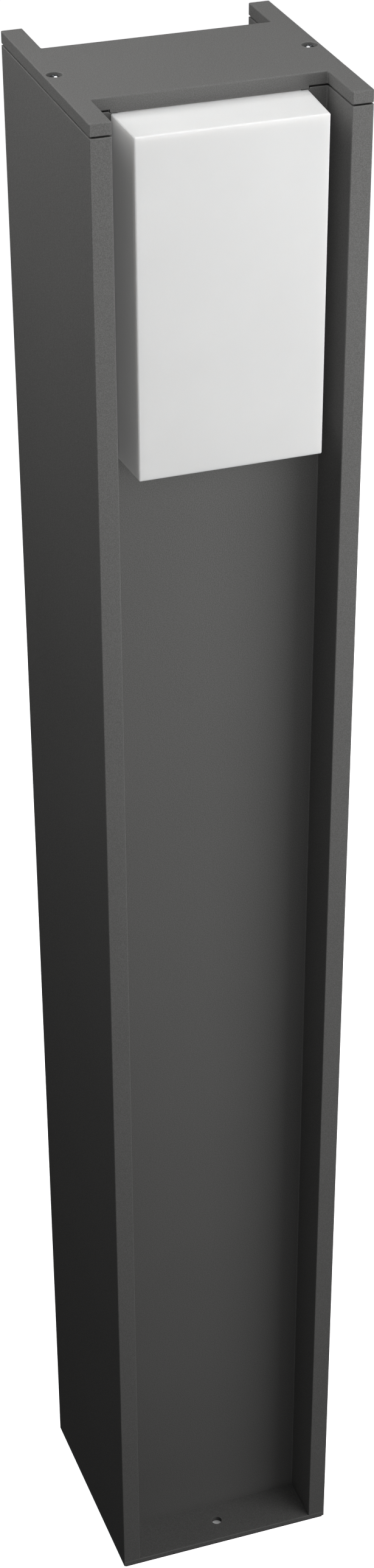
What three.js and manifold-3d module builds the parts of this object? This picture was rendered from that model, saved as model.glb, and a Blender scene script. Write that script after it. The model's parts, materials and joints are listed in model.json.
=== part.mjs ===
// Garden bollard light: an H-section aluminium post with an opal light box in its front recess,
// a screwed-down cap that carries the gear tray, and a base plate with a cable gland.
// Millimetres, +Z up. The front faces -Y, and the origin is the centre of the footprint.
import * as THREE from 'three';
import { mergeVertices } from 'three/addons/utils/BufferGeometryUtils.js';
import Module from 'manifold-3d';

const wasm = await Module();
wasm.setup();

// ---------------------------------------------------------------- driving dimensions

const HEIGHT = 770;            // ground to the top of the cap
const SIZE = 115;              // square plan, width and depth
const FIN = 9;                 // thickness of the two side fins, across the front
const RECESS = 26;             // depth of the front recess and of the back recess
const WALL = 2;                // extrusion wall round the middle tube
const FIN_WALL = 1.8;          // extrusion wall of the hollow fins

const BASE_GASKET = 1;         // rubber sheet under the base
const BASE_PLATE = 2.8;        // base plate outside the tube
const BASE_PLATFORM = 5;       // raised part of the base plate, inside the tube
const CAP_PLATE = 5;           // cap thickness above the seam
const SEAM = 0.6;              // shadow gap between the cap and the post
const SKIRT = 6.4;             // depth of the cap's locating skirt
const EDGE = 0.5;              // rounding of outside edges

const LIGHT_HEIGHT = 139;      // front face of the light box
const LIGHT_WIDTH = 79.4;
const LIGHT_DROP = 7.1;        // cap top to the light box's front top edge
const LIGHT_DRAFT = 0.8;       // moulding draft of each side over the depth of the recess
const LIGHT_WALL = 2.5;

const FIT = 0.3;               // clearance between pieces that slot together
const CAP_SCREW_X = 53;        // cap screws, on the middle line of each fin
const BASE_PORT = { x: 52, y: 26 };
const GROUND_HOLE_Y = 44;      // ground fixing holes, in the floor of each recess
const GROUND_HOLE_RADIUS = 2.75;
const SERVICE = { top: 762, bottom: 590, halfWidth: 44, front: -13.5, sheet: 1.5 };

// ---------------------------------------------------------------- derived places

const HALF = SIZE / 2;
const FIN_X = HALF - FIN;                              // inner faces of the fins
const WEB_Y = HALF - RECESS;                           // front and back faces of the middle tube
const CAVITY_X = HALF - WALL;
const CAVITY_Y = WEB_Y - WALL;
const FLOOR = BASE_GASKET + BASE_PLATE;                // recess floor, and the foot of the post
const CAP_BOTTOM = HEIGHT - CAP_PLATE;
const POST_TOP = CAP_BOTTOM - SEAM;
const LIGHT_TOP = HEIGHT - LIGHT_DROP;
const LIGHT_BOTTOM = LIGHT_TOP - LIGHT_HEIGHT;
const LIGHT_FRONT = -HALF + 0.1;
const LIGHT_BACK = -WEB_Y - 0.2;
const WINDOW = { halfWidth: 38, bottom: LIGHT_BOTTOM + 1.2 };
const TRAY_BACK = SERVICE.front + SERVICE.sheet;

// ---------------------------------------------------------------- shape helpers

const DEG = Math.PI / 180;

function roundedPath(points, radius, steps = 2) {
  // A closed outline with each corner replaced by an arc of the given radius.
  const outline = [];
  points.forEach((corner, i) => {
    const before = points[(i + points.length - 1) % points.length];
    const after = points[(i + 1) % points.length];
    const p = new THREE.Vector2(...corner);
    const a = new THREE.Vector2(...before).sub(p).normalize();
    const b = new THREE.Vector2(...after).sub(p).normalize();
    const half = a.angleTo(b) / 2;
    const inwards = a.clone().add(b).normalize();
    const centre = p.clone().addScaledVector(inwards, radius / Math.sin(half));
    const start = p.clone().addScaledVector(a, radius / Math.tan(half)).sub(centre);
    const sweep = (Math.PI - 2 * half) * Math.sign(b.cross(a));
    for (let k = 0; k <= steps; k += 1) {
      outline.push(start.clone().rotateAround(new THREE.Vector2(), (sweep * k) / steps).add(centre));
    }
  });
  return outline;
}

function polygon(corners) {
  return new THREE.Shape(corners.map((corner) => new THREE.Vector2(...corner)));
}

function rectangle(x0, y0, x1, y1, radius = 0, steps = 2) {
  const corners = [[x0, y0], [x1, y0], [x1, y1], [x0, y1]];
  return radius ? new THREE.Shape(roundedPath(corners, radius, steps)) : polygon(corners);
}

function hSection(inset, radius) {
  // The H outline of the post, the cap and its gasket, drawn in by inset.
  const outer = HALF - inset;
  const fin = FIN_X + inset;
  const web = WEB_Y - inset;
  return new THREE.Shape(roundedPath([
    [-outer, -outer], [-fin, -outer], [-fin, -web], [fin, -web], [fin, -outer], [outer, -outer],
    [outer, outer], [fin, outer], [fin, web], [-fin, web], [-fin, outer], [-outer, outer],
  ], radius));
}

function extrude(shape, z0, z1, bevel = 0) {
  // An upright prism. With a bevel, its top and bottom edges are rounded within the outline.
  const geometry = new THREE.ExtrudeGeometry(shape, {
    depth: z1 - z0 - 2 * bevel,
    bevelEnabled: bevel > 0,
    bevelThickness: bevel,
    bevelSize: bevel,
    bevelOffset: -bevel,
    bevelSegments: 2,
    steps: 1,
    curveSegments: 16,
  });
  return geometry.translate(0, 0, z0 + bevel);
}

function extrudeY(shape, y0, y1, bevel = 0) {
  // The same along Y: the shape is drawn in X and Z.
  return extrude(shape, -y1, -y0, bevel).rotateX(Math.PI / 2);
}

function box(x0, x1, y0, y1, z0, z1) {
  const geometry = new THREE.BoxGeometry(x1 - x0, y1 - y0, z1 - z0);
  return geometry.translate((x0 + x1) / 2, (y0 + y1) / 2, (z0 + z1) / 2);
}

function rod(x, y, z0, z1, radius, segments = 12) {
  const geometry = new THREE.CylinderGeometry(radius, radius, z1 - z0, segments);
  return geometry.rotateX(Math.PI / 2).translate(x, y, (z0 + z1) / 2);
}

function rodY(x, z, y0, y1, radius, segments = 12) {
  const geometry = new THREE.CylinderGeometry(radius, radius, y1 - y0, segments);
  return geometry.translate(x, (y0 + y1) / 2, z);
}

function rodX(y, z, x0, x1, radius, segments = 12) {
  const geometry = new THREE.CylinderGeometry(radius, radius, x1 - x0, segments);
  return geometry.rotateZ(Math.PI / 2).translate((x0 + x1) / 2, y, z);
}

function turned(profile, segments = 24) {
  // A turned piece about Z from [radius, z] points that run anticlockwise and close on themselves.
  const points = profile.map(([r, z]) => new THREE.Vector2(r, z));
  const closed = points[0].x === 0 ? points : [...points, points[0].clone()];
  return new THREE.LatheGeometry(closed, segments).rotateX(Math.PI / 2);
}

function solid(geometry) {
  const bare = geometry.clone();
  bare.deleteAttribute('normal');
  bare.deleteAttribute('uv');
  const merged = mergeVertices(bare, 1e-4);
  return new wasm.Manifold(new wasm.Mesh({
    numProp: 3,
    vertProperties: new Float32Array(merged.attributes.position.array),
    triVerts: new Uint32Array(merged.index.array),
  }));
}

function geometryOf(manifold) {
  const mesh = manifold.getMesh();
  const geometry = new THREE.BufferGeometry();
  geometry.setAttribute('position', new THREE.BufferAttribute(new Float32Array(mesh.vertProperties), 3));
  geometry.setIndex(new THREE.BufferAttribute(new Uint32Array(mesh.triVerts), 1));
  geometry.computeVertexNormals();
  return geometry;
}

function build(body, { join = [], cut = [] }) {
  // A piece made of one body, with others joined to it and then cut from it.
  let result = solid(body);
  join.forEach((geometry) => {
    result = result.add(solid(geometry));
  });
  cut.forEach((geometry) => {
    result = result.subtract(solid(geometry));
  });
  return geometryOf(result);
}

function wire(points, radius) {
  // A round wire along a smooth curve through the points.
  const places = points.map((point) => new THREE.Vector3(...point));
  const section = new THREE.Shape();
  section.absarc(0, 0, radius, 0, 2 * Math.PI);
  return new THREE.ExtrudeGeometry(section, {
    extrudePath: new THREE.CatmullRomCurve3(places, false, 'centripetal'),
    steps: 18,
    curveSegments: 4,
    bevelEnabled: false,
  });
}

// ---------------------------------------------------------------- materials

function finish(colour, roughness, metalness) {
  return new THREE.MeshStandardMaterial({ color: colour, roughness, metalness });
}

const MATERIALS = {
  coating: finish(0x55575a, 0.62, 0.2),
  opal: finish(0xf2f3f1, 0.35, 0),
  stainless: finish(0xc9cbcd, 0.28, 1),
  zinc: finish(0xa9adb0, 0.4, 1),
  aluminium: finish(0xb6b9bb, 0.45, 1),
  rubber: finish(0x1b1b1c, 0.85, 0),
  grey: finish(0x3a3c3f, 0.55, 0),
  white: finish(0xf4f4f0, 0.5, 0),
  board: finish(0xe9ebe6, 0.4, 0),
  laminate: finish(0x2c6b3c, 0.5, 0),
  phosphor: finish(0xf0cf4a, 0.35, 0),
  pad: finish(0x8fa0ae, 0.8, 0),
  brown: finish(0x6a3d22, 0.5, 0),
  blue: finish(0x1f5fae, 0.5, 0),
  green: finish(0x5d9a2e, 0.5, 0),
  red: finish(0xb3231f, 0.5, 0),
  black: finish(0x151515, 0.5, 0),
  brass: finish(0xbf9a4e, 0.4, 1),
};

const bollard = new THREE.Group();

function place(name, geometry, material) {
  const mesh = new THREE.Mesh(geometry, MATERIALS[material]);
  mesh.name = name;
  bollard.add(mesh);
  return mesh;
}

const SIDES = [['left', -1], ['right', 1]];
const QUARTERS = [[-1, -1], [1, -1], [1, 1], [-1, 1]];

// ---------------------------------------------------------------- domed socket screws

const SCREWS = {
  cap: { head: 2.85, height: 1.65, shank: 1.5, length: 15 },
  tray: { head: 2.8, height: 1.7, shank: 1.45, length: 5 },
  board: { head: 2.8, height: 1.6, shank: 1.45, length: 6 },
  driver: { head: 2.8, height: 1.6, shank: 1.45, length: 3.4 },
  terminal: { head: 2.6, height: 1.8, shank: 1.45, length: 16 },
  earth: { head: 3.6, height: 2.2, shank: 1.95, length: 5 },
};
const SOCKET = 0.36;           // radius of the hexagon socket, as a share of the head's
const HEAD_RIM = 0.25;         // straight edge of the head, under the dome

function buttonScrew({ head, height, shank, length }) {
  // Head up, with the underside of the head at z = 0.
  const dome = [0, 30, 60].map((turn) => [
    head * Math.cos(turn * DEG), HEAD_RIM + (height - HEAD_RIM) * Math.sin(turn * DEG),
  ]);
  const profile = [[0, -length], [shank, -length], [shank, 0], [head, 0], ...dome, [0, height]];
  const socket = new THREE.CylinderGeometry(head * SOCKET, head * SOCKET, height, 6);
  return build(turned(profile, 12), {
    cut: [socket.rotateX(Math.PI / 2).translate(0, 0, height * 0.95)],
  });
}

// ---------------------------------------------------------------- post

const CAP_PORT_RADIUS = 4;
const BASE_PORT_RADIUS = 4.2;
const CAP_BORE = 1.6;
const BASE_BORE = 2.1;

function portHoles(clearance, z0, z1) {
  // The room that the six screw ports need in a piece that slots into the tube.
  const caps = SIDES.map(([, side]) => rod(side * CAP_SCREW_X, 0, z0, z1, CAP_PORT_RADIUS + clearance));
  const bases = QUARTERS.map(([sx, sy]) => (
    rod(sx * BASE_PORT.x, sy * BASE_PORT.y, z0, z1, BASE_PORT_RADIUS + clearance)
  ));
  return [...caps, ...bases];
}

function postBody() {
  const below = FLOOR - 1;
  const above = POST_TOP + 1;
  const cells = QUARTERS.map(([sx, sy]) => {
    const x = [sx * (FIN_X + FIN_WALL), sx * (HALF - FIN_WALL)].sort((a, b) => a - b);
    const y = [sy * WEB_Y, sy * (HALF - FIN_WALL)].sort((a, b) => a - b);
    return extrude(rectangle(x[0], y[0], x[1], y[1], 0.4), below, above);
  });
  const tube = extrude(rectangle(-CAVITY_X, -CAVITY_Y, CAVITY_X, CAVITY_Y, 0.5), below, above);
  const capBores = SIDES.map(([, side]) => rod(side * CAP_SCREW_X, 0, below, above, CAP_BORE));
  const baseBores = QUARTERS.map(([sx, sy]) => (
    rod(sx * BASE_PORT.x, sy * BASE_PORT.y, below, above, BASE_BORE)
  ));
  const hollow = build(extrude(hSection(0, EDGE), FLOOR, POST_TOP), { cut: [tube, ...cells] });
  const relief = LIGHT_WIDTH / 2 + LIGHT_DRAFT + 0.5;
  return build(hollow, {
    join: portHoles(0, FLOOR, POST_TOP),
    cut: [
      ...capBores,
      ...baseBores,
      box(-WINDOW.halfWidth, WINDOW.halfWidth, -WEB_Y - 1, -CAVITY_Y + 0.4, WINDOW.bottom, above),
      box(-relief, relief, -WEB_Y - 1, -CAVITY_Y + 0.4, LIGHT_TOP + LIGHT_DRAFT + 0.2, above),
    ],
  });
}

place('post_body', postBody(), 'coating');

// ---------------------------------------------------------------- base

const STEM_RADIUS = 9.9;       // threaded stem of the cable gland
const PLATFORM_TOP = FLOOR + BASE_PLATFORM;
const BASE_SCREW = { head: 3.9, shank: 2, length: 20 };
const SCREW_ROOM = 0.2;        // clearance round the countersunk base screws

function groundHoles(radius) {
  return [-GROUND_HOLE_Y, GROUND_HOLE_Y].map((y) => rod(0, y, -1, FLOOR + 1, radius, 24));
}

function basePlate() {
  const x = CAVITY_X - FIT;
  const y = CAVITY_Y - FIT;
  const platform = build(extrude(rectangle(-x, -y, x, y, 0.6), FLOOR - 1, PLATFORM_TOP), {
    cut: portHoles(FIT, FLOOR - 2, PLATFORM_TOP + 1),
  });
  const head = BASE_SCREW.head + SCREW_ROOM;
  const shank = BASE_SCREW.shank + SCREW_ROOM;
  const screwHoles = QUARTERS.flatMap(([sx, sy]) => [
    rod(sx * BASE_PORT.x, sy * BASE_PORT.y, 0, FLOOR + 1, shank),
    turned([[0, -1], [head, -1], [head, 0.4], [shank, 2.1], [0, 2.1]], 12)
      .translate(sx * BASE_PORT.x, sy * BASE_PORT.y, BASE_GASKET),
  ]);
  return build(extrude(rectangle(-HALF, -HALF, HALF, HALF, EDGE), BASE_GASKET, FLOOR), {
    join: [platform],
    cut: [
      rod(0, 0, 0, PLATFORM_TOP + 1, STEM_RADIUS + FIT, 24),
      ...groundHoles(GROUND_HOLE_RADIUS),
      ...screwHoles,
    ],
  });
}

function baseGasket() {
  const half = HALF - 0.5;
  return build(extrude(rectangle(-half, -half, half, half, 1), 0, BASE_GASKET), {
    cut: [
      rod(0, 0, -1, BASE_GASKET + 1, STEM_RADIUS + 2.1, 24),
      ...groundHoles(GROUND_HOLE_RADIUS + 1.25),
    ],
  });
}

place('base_plate', basePlate(), 'coating');
place('base_gasket', baseGasket(), 'rubber');

QUARTERS.forEach(([sx, sy], i) => {
  const { head, shank, length } = BASE_SCREW;
  const screw = turned([
    [0, 0], [head, 0], [head, 0.3], [shank, 2], [shank, length - 1], [shank - 0.8, length], [0, length],
  ], 12);
  const slot = new THREE.CylinderGeometry(1.5, 1.5, 1.2, 6).rotateX(Math.PI / 2);
  place(`base_screw_${i + 1}`, build(screw, { cut: [slot] })
    .translate(sx * BASE_PORT.x, sy * BASE_PORT.y, BASE_GASKET + 0.1), 'stainless');
});

// ---------------------------------------------------------------- cable gland

function hexagon(acrossFlats) {
  const radius = acrossFlats / 2 / Math.cos(30 * DEG);
  const turns = Array.from({ length: 6 }, (_, k) => k * 60 * DEG);
  return polygon(turns.map((turn) => [radius * Math.cos(turn), radius * Math.sin(turn)]));
}

const GLAND = {
  acrossFlats: 24,
  cable: 4,                    // bore of the seal, for the feed cable
  bore: 6.7,
  thread: 9,
  hexTop: PLATFORM_TOP + 5,
  top: PLATFORM_TOP + 15,
};

place('gland_body', build(extrude(hexagon(GLAND.acrossFlats), PLATFORM_TOP, GLAND.hexTop, 0.4), {
  join: [
    rod(0, 0, BASE_GASKET + 0.6, PLATFORM_TOP + 1, STEM_RADIUS, 24),
    rod(0, 0, GLAND.hexTop - 1, GLAND.top, GLAND.thread, 24),
  ],
  cut: [rod(0, 0, 0, GLAND.top + 1, GLAND.bore, 24)],
}), 'grey');

place('gland_seal', turned([
  [GLAND.cable, GLAND.hexTop], [GLAND.bore - FIT, GLAND.hexTop], [GLAND.bore - FIT, GLAND.top],
  [5.6, GLAND.top + 3], [GLAND.cable, GLAND.top + 3],
]), 'rubber');

place('gland_nut', build(extrude(hexagon(GLAND.acrossFlats), GLAND.hexTop + 1.5, GLAND.top - 1, 0.4), {
  join: [turned([
    [0, GLAND.top - 3], [11, GLAND.top - 3], [11, GLAND.top + 1], [10, GLAND.top + 3.6],
    [8, GLAND.top + 5], [0, GLAND.top + 5],
  ])],
  cut: [
    rod(0, 0, 0, GLAND.top + 0.4, GLAND.thread + 0.2, 24),
    turned([[0, GLAND.top], [7.4, GLAND.top], [5.6, GLAND.top + 6], [0, GLAND.top + 6]]),
  ],
}), 'grey');

// ---------------------------------------------------------------- opal light box

function drafted(geometry) {
  // Narrows a box by the moulding draft from its back towards its front.
  const position = geometry.attributes.position;
  const middle = (LIGHT_TOP + LIGHT_BOTTOM) / 2;
  for (let i = 0; i < position.count; i += 1) {
    const depth = (LIGHT_BACK - position.getY(i)) / (LIGHT_BACK - LIGHT_FRONT);
    const draft = LIGHT_DRAFT * Math.min(Math.max(depth, 0), 1);
    position.setX(i, position.getX(i) - Math.sign(position.getX(i)) * draft);
    position.setZ(i, position.getZ(i) - Math.sign(position.getZ(i) - middle) * draft);
  }
  return geometry;
}

function lightBlock(inset, back, front, radius) {
  // A drafted block: the outside of the light box, or the hollow that is inset by the wall.
  const half = LIGHT_WIDTH / 2 + LIGHT_DRAFT - inset;
  const bottom = LIGHT_BOTTOM - LIGHT_DRAFT + inset;
  const top = LIGHT_TOP + LIGHT_DRAFT - inset;
  return drafted(extrudeY(rectangle(-half, bottom, half, top, radius, 3), front, back, 0.75 * radius));
}

const RIM = { halfWidth: 42, bottom: LIGHT_BOTTOM - 2.4, front: -28.4, back: -26.4 };
const SEAT_TOP = LIGHT_TOP + LIGHT_DRAFT;

function diffuser() {
  const neck = box(
    -WINDOW.halfWidth + FIT, WINDOW.halfWidth - FIT, LIGHT_BACK - 1, RIM.back,
    WINDOW.bottom + FIT, SEAT_TOP,
  );
  const rim = box(-RIM.halfWidth, RIM.halfWidth, RIM.front, RIM.back, RIM.bottom, SEAT_TOP);
  const throat = WINDOW.halfWidth - FIT - LIGHT_WALL;
  const shell = build(lightBlock(0, LIGHT_BACK, LIGHT_FRONT, 0.8), { join: [neck, rim] });
  return build(shell, {
    cut: [
      lightBlock(LIGHT_WALL + 0.2, LIGHT_BACK - 1, LIGHT_FRONT + LIGHT_WALL, 0.6),
      box(-throat, throat, LIGHT_BACK - 3, 0, WINDOW.bottom + FIT + LIGHT_WALL, SEAT_TOP - LIGHT_WALL),
    ],
  });
}

place('diffuser', diffuser(), 'opal');

function diffuserGasket() {
  // A strip round three sides of the rim, between the rim and the inside of the web.
  const outer = RIM.halfWidth;
  const inner = WINDOW.halfWidth + FIT;
  const inside = WINDOW.bottom - FIT;
  return extrudeY(polygon([
    [-outer, SEAT_TOP], [-outer, RIM.bottom], [outer, RIM.bottom], [outer, SEAT_TOP],
    [inner, SEAT_TOP], [inner, inside], [-inner, inside], [-inner, SEAT_TOP],
  ]), -CAVITY_Y + 0.1, RIM.front - 0.1);
}

place('diffuser_gasket', diffuserGasket(), 'rubber');

// ---------------------------------------------------------------- cap

const HEAD_SEAT = HEIGHT - 2;  // floor of the counterbore of each cap screw
const COUNTERBORE = 3.25;
const TRAY_SCREW_X = 30;
const LIP = { halfWidth: LIGHT_WIDTH / 2 + LIGHT_DRAFT + 0.2, back: -30.3, bottom: SEAT_TOP + FIT };
const TOP_SEAL = 37;           // half width of the seal between the light box and the cap

function cavityOutline(inset) {
  // The opening of the middle tube, drawn in by inset.
  return rectangle(-CAVITY_X + inset, -CAVITY_Y + inset, CAVITY_X - inset, CAVITY_Y - inset, 0.8);
}

function capSkirt() {
  const low = CAP_BOTTOM - SKIRT;
  return build(extrude(cavityOutline(0.5), low, CAP_BOTTOM + 0.5), {
    cut: [
      extrude(cavityOutline(3), low - 1, CAP_BOTTOM + 1),
      ...portHoles(0.6, low - 1, CAP_BOTTOM + 1),
      box(-RIM.halfWidth - 1, RIM.halfWidth + 1, -CAVITY_Y - 1, 0, low - 1, CAP_BOTTOM + 1),
    ],
  });
}

function topCap() {
  const bosses = SIDES.map(([, side]) => rod(side * TRAY_SCREW_X, 0, SERVICE.top, CAP_BOTTOM + 0.5, 4));
  const lip = box(-LIP.halfWidth, LIP.halfWidth, -WEB_Y, LIP.back, LIP.bottom, CAP_BOTTOM + 0.5);
  const plate = build(extrude(hSection(0, EDGE), CAP_BOTTOM, HEIGHT, EDGE - 0.05), {
    join: [lip, ...bosses],
  });
  return build(plate, {
    join: [capSkirt()],
    cut: SIDES.flatMap(([, side]) => [
      rod(side * CAP_SCREW_X, 0, HEAD_SEAT, HEIGHT + 1, COUNTERBORE, 28),
      rod(side * CAP_SCREW_X, 0, CAP_BOTTOM - 1, HEIGHT, SCREWS.cap.shank + 0.25, 16),
      rod(side * TRAY_SCREW_X, 0, SERVICE.top - 1, CAP_BOTTOM + 2.5, 1.6),
    ]),
  });
}

place('top_cap', topCap(), 'coating');

function capGasket() {
  const low = POST_TOP + 0.05;
  const high = CAP_BOTTOM - 0.05;
  return build(extrude(hSection(0.5, EDGE), low, high), {
    cut: [
      extrude(cavityOutline(FIT), low - 1, high + 1),
      box(-LIP.halfWidth - FIT, LIP.halfWidth + FIT, -WEB_Y - 1, LIP.back + FIT, low - 1, high + 1),
    ],
  });
}

place('cap_gasket', capGasket(), 'rubber');
place('light_box_seal', box(
  -TOP_SEAL, TOP_SEAL, -CAVITY_Y + 0.6, RIM.back, SEAT_TOP + 0.1, CAP_BOTTOM - 0.1,
), 'rubber');

SIDES.forEach(([side, sign]) => {
  const screw = buttonScrew(SCREWS.cap);
  place(`cap_screw_${side}`, screw.translate(sign * CAP_SCREW_X, 0, HEAD_SEAT), 'stainless');
});

// ---------------------------------------------------------------- gear tray

const GROMMET = { x: 38.3, z: 690, hole: 3.4 };
const LED_Z = 694;             // middle of the LED board
const BOARD = { halfWidth: 34, halfHeight: 60, back: SERVICE.front - 0.5, thickness: 1.6 };
const BOARD_FRONT = BOARD.back - BOARD.thickness;
const BOARD_SCREWS = QUARTERS.map(([sx, sz]) => [sx * 24, LED_Z + sz * 54]);
const DRIVER = { halfWidth: 21, back: 10, bottom: 652, top: 748, wall: 1.6, ear: 8 };
const DRIVER_SCREW_Z = [DRIVER.bottom - 4, DRIVER.top + 4];
const TERMINAL = { halfWidth: 18, back: 6, bottom: 600, top: 620, poles: [-12, 0, 12], hole: 2 };
const TERMINAL_MIDDLE = (TERMINAL.bottom + TERMINAL.top) / 2;
const TERMINAL_SCREWS = [-6, 6];
const EARTH = { x: 34, z: 628 };
const SCREW_HOLE = 1.6;

function gearTray() {
  const sheet = SERVICE.sheet;
  const plate = extrudeY(
    rectangle(-SERVICE.halfWidth, SERVICE.bottom, SERVICE.halfWidth, SERVICE.top, 3, 3),
    SERVICE.front, TRAY_BACK,
  );
  const sides = SIDES.map(([, side]) => {
    const x = [side * (SERVICE.halfWidth - sheet), side * SERVICE.halfWidth].sort((a, b) => a - b);
    return box(x[0], x[1], SERVICE.front, TRAY_BACK + 8, SERVICE.bottom + 8, SERVICE.top - 12);
  });
  const top = box(-40, 40, SERVICE.front, TRAY_BACK + 20, SERVICE.top - sheet, SERVICE.top);
  const front = SERVICE.front - 1;
  const back = TRAY_BACK + 1;
  return build(plate, {
    join: [...sides, top],
    cut: [
      ...SIDES.map(([, side]) => rod(side * TRAY_SCREW_X, 0, SERVICE.top - 3, SERVICE.top + 1, 1.7)),
      ...BOARD_SCREWS.map(([x, z]) => rodY(x, z, front, back, SCREW_HOLE)),
      ...DRIVER_SCREW_Z.map((z) => rodY(0, z, front, back, SCREW_HOLE)),
      ...TERMINAL_SCREWS.map((x) => rodY(x, TERMINAL_MIDDLE, front, back, SCREW_HOLE)),
      rodY(EARTH.x, EARTH.z, front, back, 2.1),
      rodY(GROMMET.x, GROMMET.z, front, back, GROMMET.hole, 20),
    ],
  });
}

place('gear_tray', gearTray(), 'aluminium');
SIDES.forEach(([side, sign]) => {
  const screw = buttonScrew(SCREWS.tray).rotateX(Math.PI);
  screw.translate(sign * TRAY_SCREW_X, 0, SERVICE.top - SERVICE.sheet);
  place(`tray_screw_${side}`, screw, 'zinc');
});
place('wire_grommet', turned([
  [2.6, -1.6], [4, -1.6], [4, -0.9], [3.2, -0.8], [3.2, 0.8], [4, 0.9], [4, 1.6], [2.6, 1.6],
], 20).rotateX(Math.PI / 2).translate(GROMMET.x, (SERVICE.front + TRAY_BACK) / 2, GROMMET.z), 'rubber');

// ---------------------------------------------------------------- light engine

const PAD = { halfWidth: 30, halfHeight: 58 };

place('thermal_pad', build(box(
  -PAD.halfWidth, PAD.halfWidth, BOARD.back, SERVICE.front,
  LED_Z - PAD.halfHeight, LED_Z + PAD.halfHeight,
), {
  cut: BOARD_SCREWS.map(([x, z]) => rodY(x, z, -20, 0, SCREW_HOLE + 0.2)),
}), 'pad');

place('led_board', build(extrudeY(
  rectangle(-BOARD.halfWidth, LED_Z - BOARD.halfHeight, BOARD.halfWidth, LED_Z + BOARD.halfHeight, 2),
  BOARD_FRONT, BOARD.back,
), {
  cut: BOARD_SCREWS.map(([x, z]) => rodY(x, z, -20, 0, SCREW_HOLE)),
}), 'board');

const LED_PLACES = [-45, -15, 15, 45].flatMap((dz) => [-13, 13].map((x) => [x, LED_Z + dz]));
const LED = { half: 2.5, thickness: 0.8, dome: 2 };

LED_PLACES.forEach(([x, z], i) => {
  const housing = box(-LED.half, LED.half, -LED.thickness, 0, -LED.half, LED.half);
  const dome = new THREE.SphereGeometry(LED.dome, 10, 6).scale(1, 0.5, 1)
    .translate(0, -LED.thickness - 0.3, 0);
  place(`led_${i + 1}`, build(housing, { join: [dome] }).translate(x, BOARD_FRONT, z), 'phosphor');
});

const REFLECTOR = {
  back: BOARD_FRONT - 0.3,
  front: -25.9,
  wall: 1.2,
  halfWidth: 29.5,
  halfHeight: 59.5,
  flare: 6.6,
  opening: 4.2,                // round each LED
};

function flared(inset, back, front) {
  // A block that widens by the flare from the reflector's back to its front.
  const w = REFLECTOR.halfWidth - inset;
  const h = REFLECTOR.halfHeight - inset;
  const geometry = extrudeY(rectangle(-w, -h, w, h, 3, 3), front, back);
  const position = geometry.attributes.position;
  for (let i = 0; i < position.count; i += 1) {
    const depth = (REFLECTOR.back - position.getY(i)) / (REFLECTOR.back - REFLECTOR.front);
    const spread = REFLECTOR.flare * depth;
    position.setX(i, position.getX(i) + Math.sign(position.getX(i)) * spread);
    position.setZ(i, position.getZ(i) + Math.sign(position.getZ(i)) * spread + LED_Z);
  }
  return geometry;
}

place('reflector', build(flared(0, REFLECTOR.back, REFLECTOR.front), {
  cut: [
    flared(REFLECTOR.wall, REFLECTOR.back - REFLECTOR.wall, REFLECTOR.front - 1),
    ...LED_PLACES.map(([x, z]) => rodY(x, z, -20, -10, REFLECTOR.opening)),
    ...BOARD_SCREWS.map(([x, z]) => rodY(x, z, -20, -10, SCREW_HOLE + 0.1)),
  ],
}), 'white');

BOARD_SCREWS.forEach(([x, z], i) => {
  const screw = buttonScrew(SCREWS.board).rotateX(Math.PI / 2);
  place(`board_screw_${i + 1}`, screw.translate(x, REFLECTOR.back - REFLECTOR.wall, z), 'zinc');
});

// ---------------------------------------------------------------- driver

const LEAD_EXIT = { y: 2, z: GROMMET.z };
const LEAD_GAP = 1.2;          // each LED lead is this far above or below their middle line
const FEED_ENTRY = { y: 0, x: [-9, 4] };
const EAR = { halfWidth: 6, thickness: 2 };
const LID = { halfWidth: 18.8, inset: 2, lip: 1.2, depth: 3.4 };
const DRIVER_BOARD = { halfWidth: 17, inset: 5, back: TRAY_BACK + 3, front: TRAY_BACK + 4.6 };
const TRANSFORMER = { bottom: 701, top: 721, halfWidth: 9, height: 11 };
const CAPACITOR = { x: -6, z: 672, radius: 4.5, length: 16 };

function driverHousing() {
  const { halfWidth, back, bottom, top, wall, ear } = DRIVER;
  const ears = DRIVER_SCREW_Z.map((z) => (
    box(-EAR.halfWidth, EAR.halfWidth, TRAY_BACK, TRAY_BACK + EAR.thickness, z - ear / 2, z + ear / 2)
  ));
  return build(extrudeY(rectangle(-halfWidth, bottom, halfWidth, top, 2, 3), TRAY_BACK, back - wall), {
    join: ears,
    cut: [
      box(-halfWidth + wall, halfWidth - wall, TRAY_BACK + wall, back, bottom + wall, top - wall),
      ...DRIVER_SCREW_Z.map((z) => rodY(0, z, -20, 0, SCREW_HOLE)),
      ...FEED_ENTRY.x.map((x) => rod(x, FEED_ENTRY.y, bottom - 1, bottom + wall + 1, 1.4)),
      ...[-1, 1].map((sign) => rodX(LEAD_EXIT.y, LEAD_EXIT.z + sign * LEAD_GAP, 10, halfWidth + 1, 1)),
    ],
  });
}

function driverLid() {
  const { halfWidth, back, bottom, top, wall } = DRIVER;
  const lip = LID.halfWidth - LID.lip;
  const low = bottom + LID.inset;
  const high = top - LID.inset;
  return build(extrudeY(rectangle(-halfWidth, bottom, halfWidth, top, 2, 3), back - wall + 0.1, back), {
    join: [box(-LID.halfWidth, LID.halfWidth, back - LID.depth, back - 1, low, high)],
    cut: [box(-lip, lip, back - 20, back - wall, low + LID.lip, high - LID.lip)],
  });
}

function driverTransformer() {
  const { bottom, top, halfWidth, height } = TRANSFORMER;
  const y = DRIVER_BOARD.front;
  return build(box(-halfWidth, halfWidth, y, y + height, bottom, top), {
    join: [box(-halfWidth + 3, halfWidth - 3, y + 1, y + height - 1, bottom - 3, top + 3)],
  });
}

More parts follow.
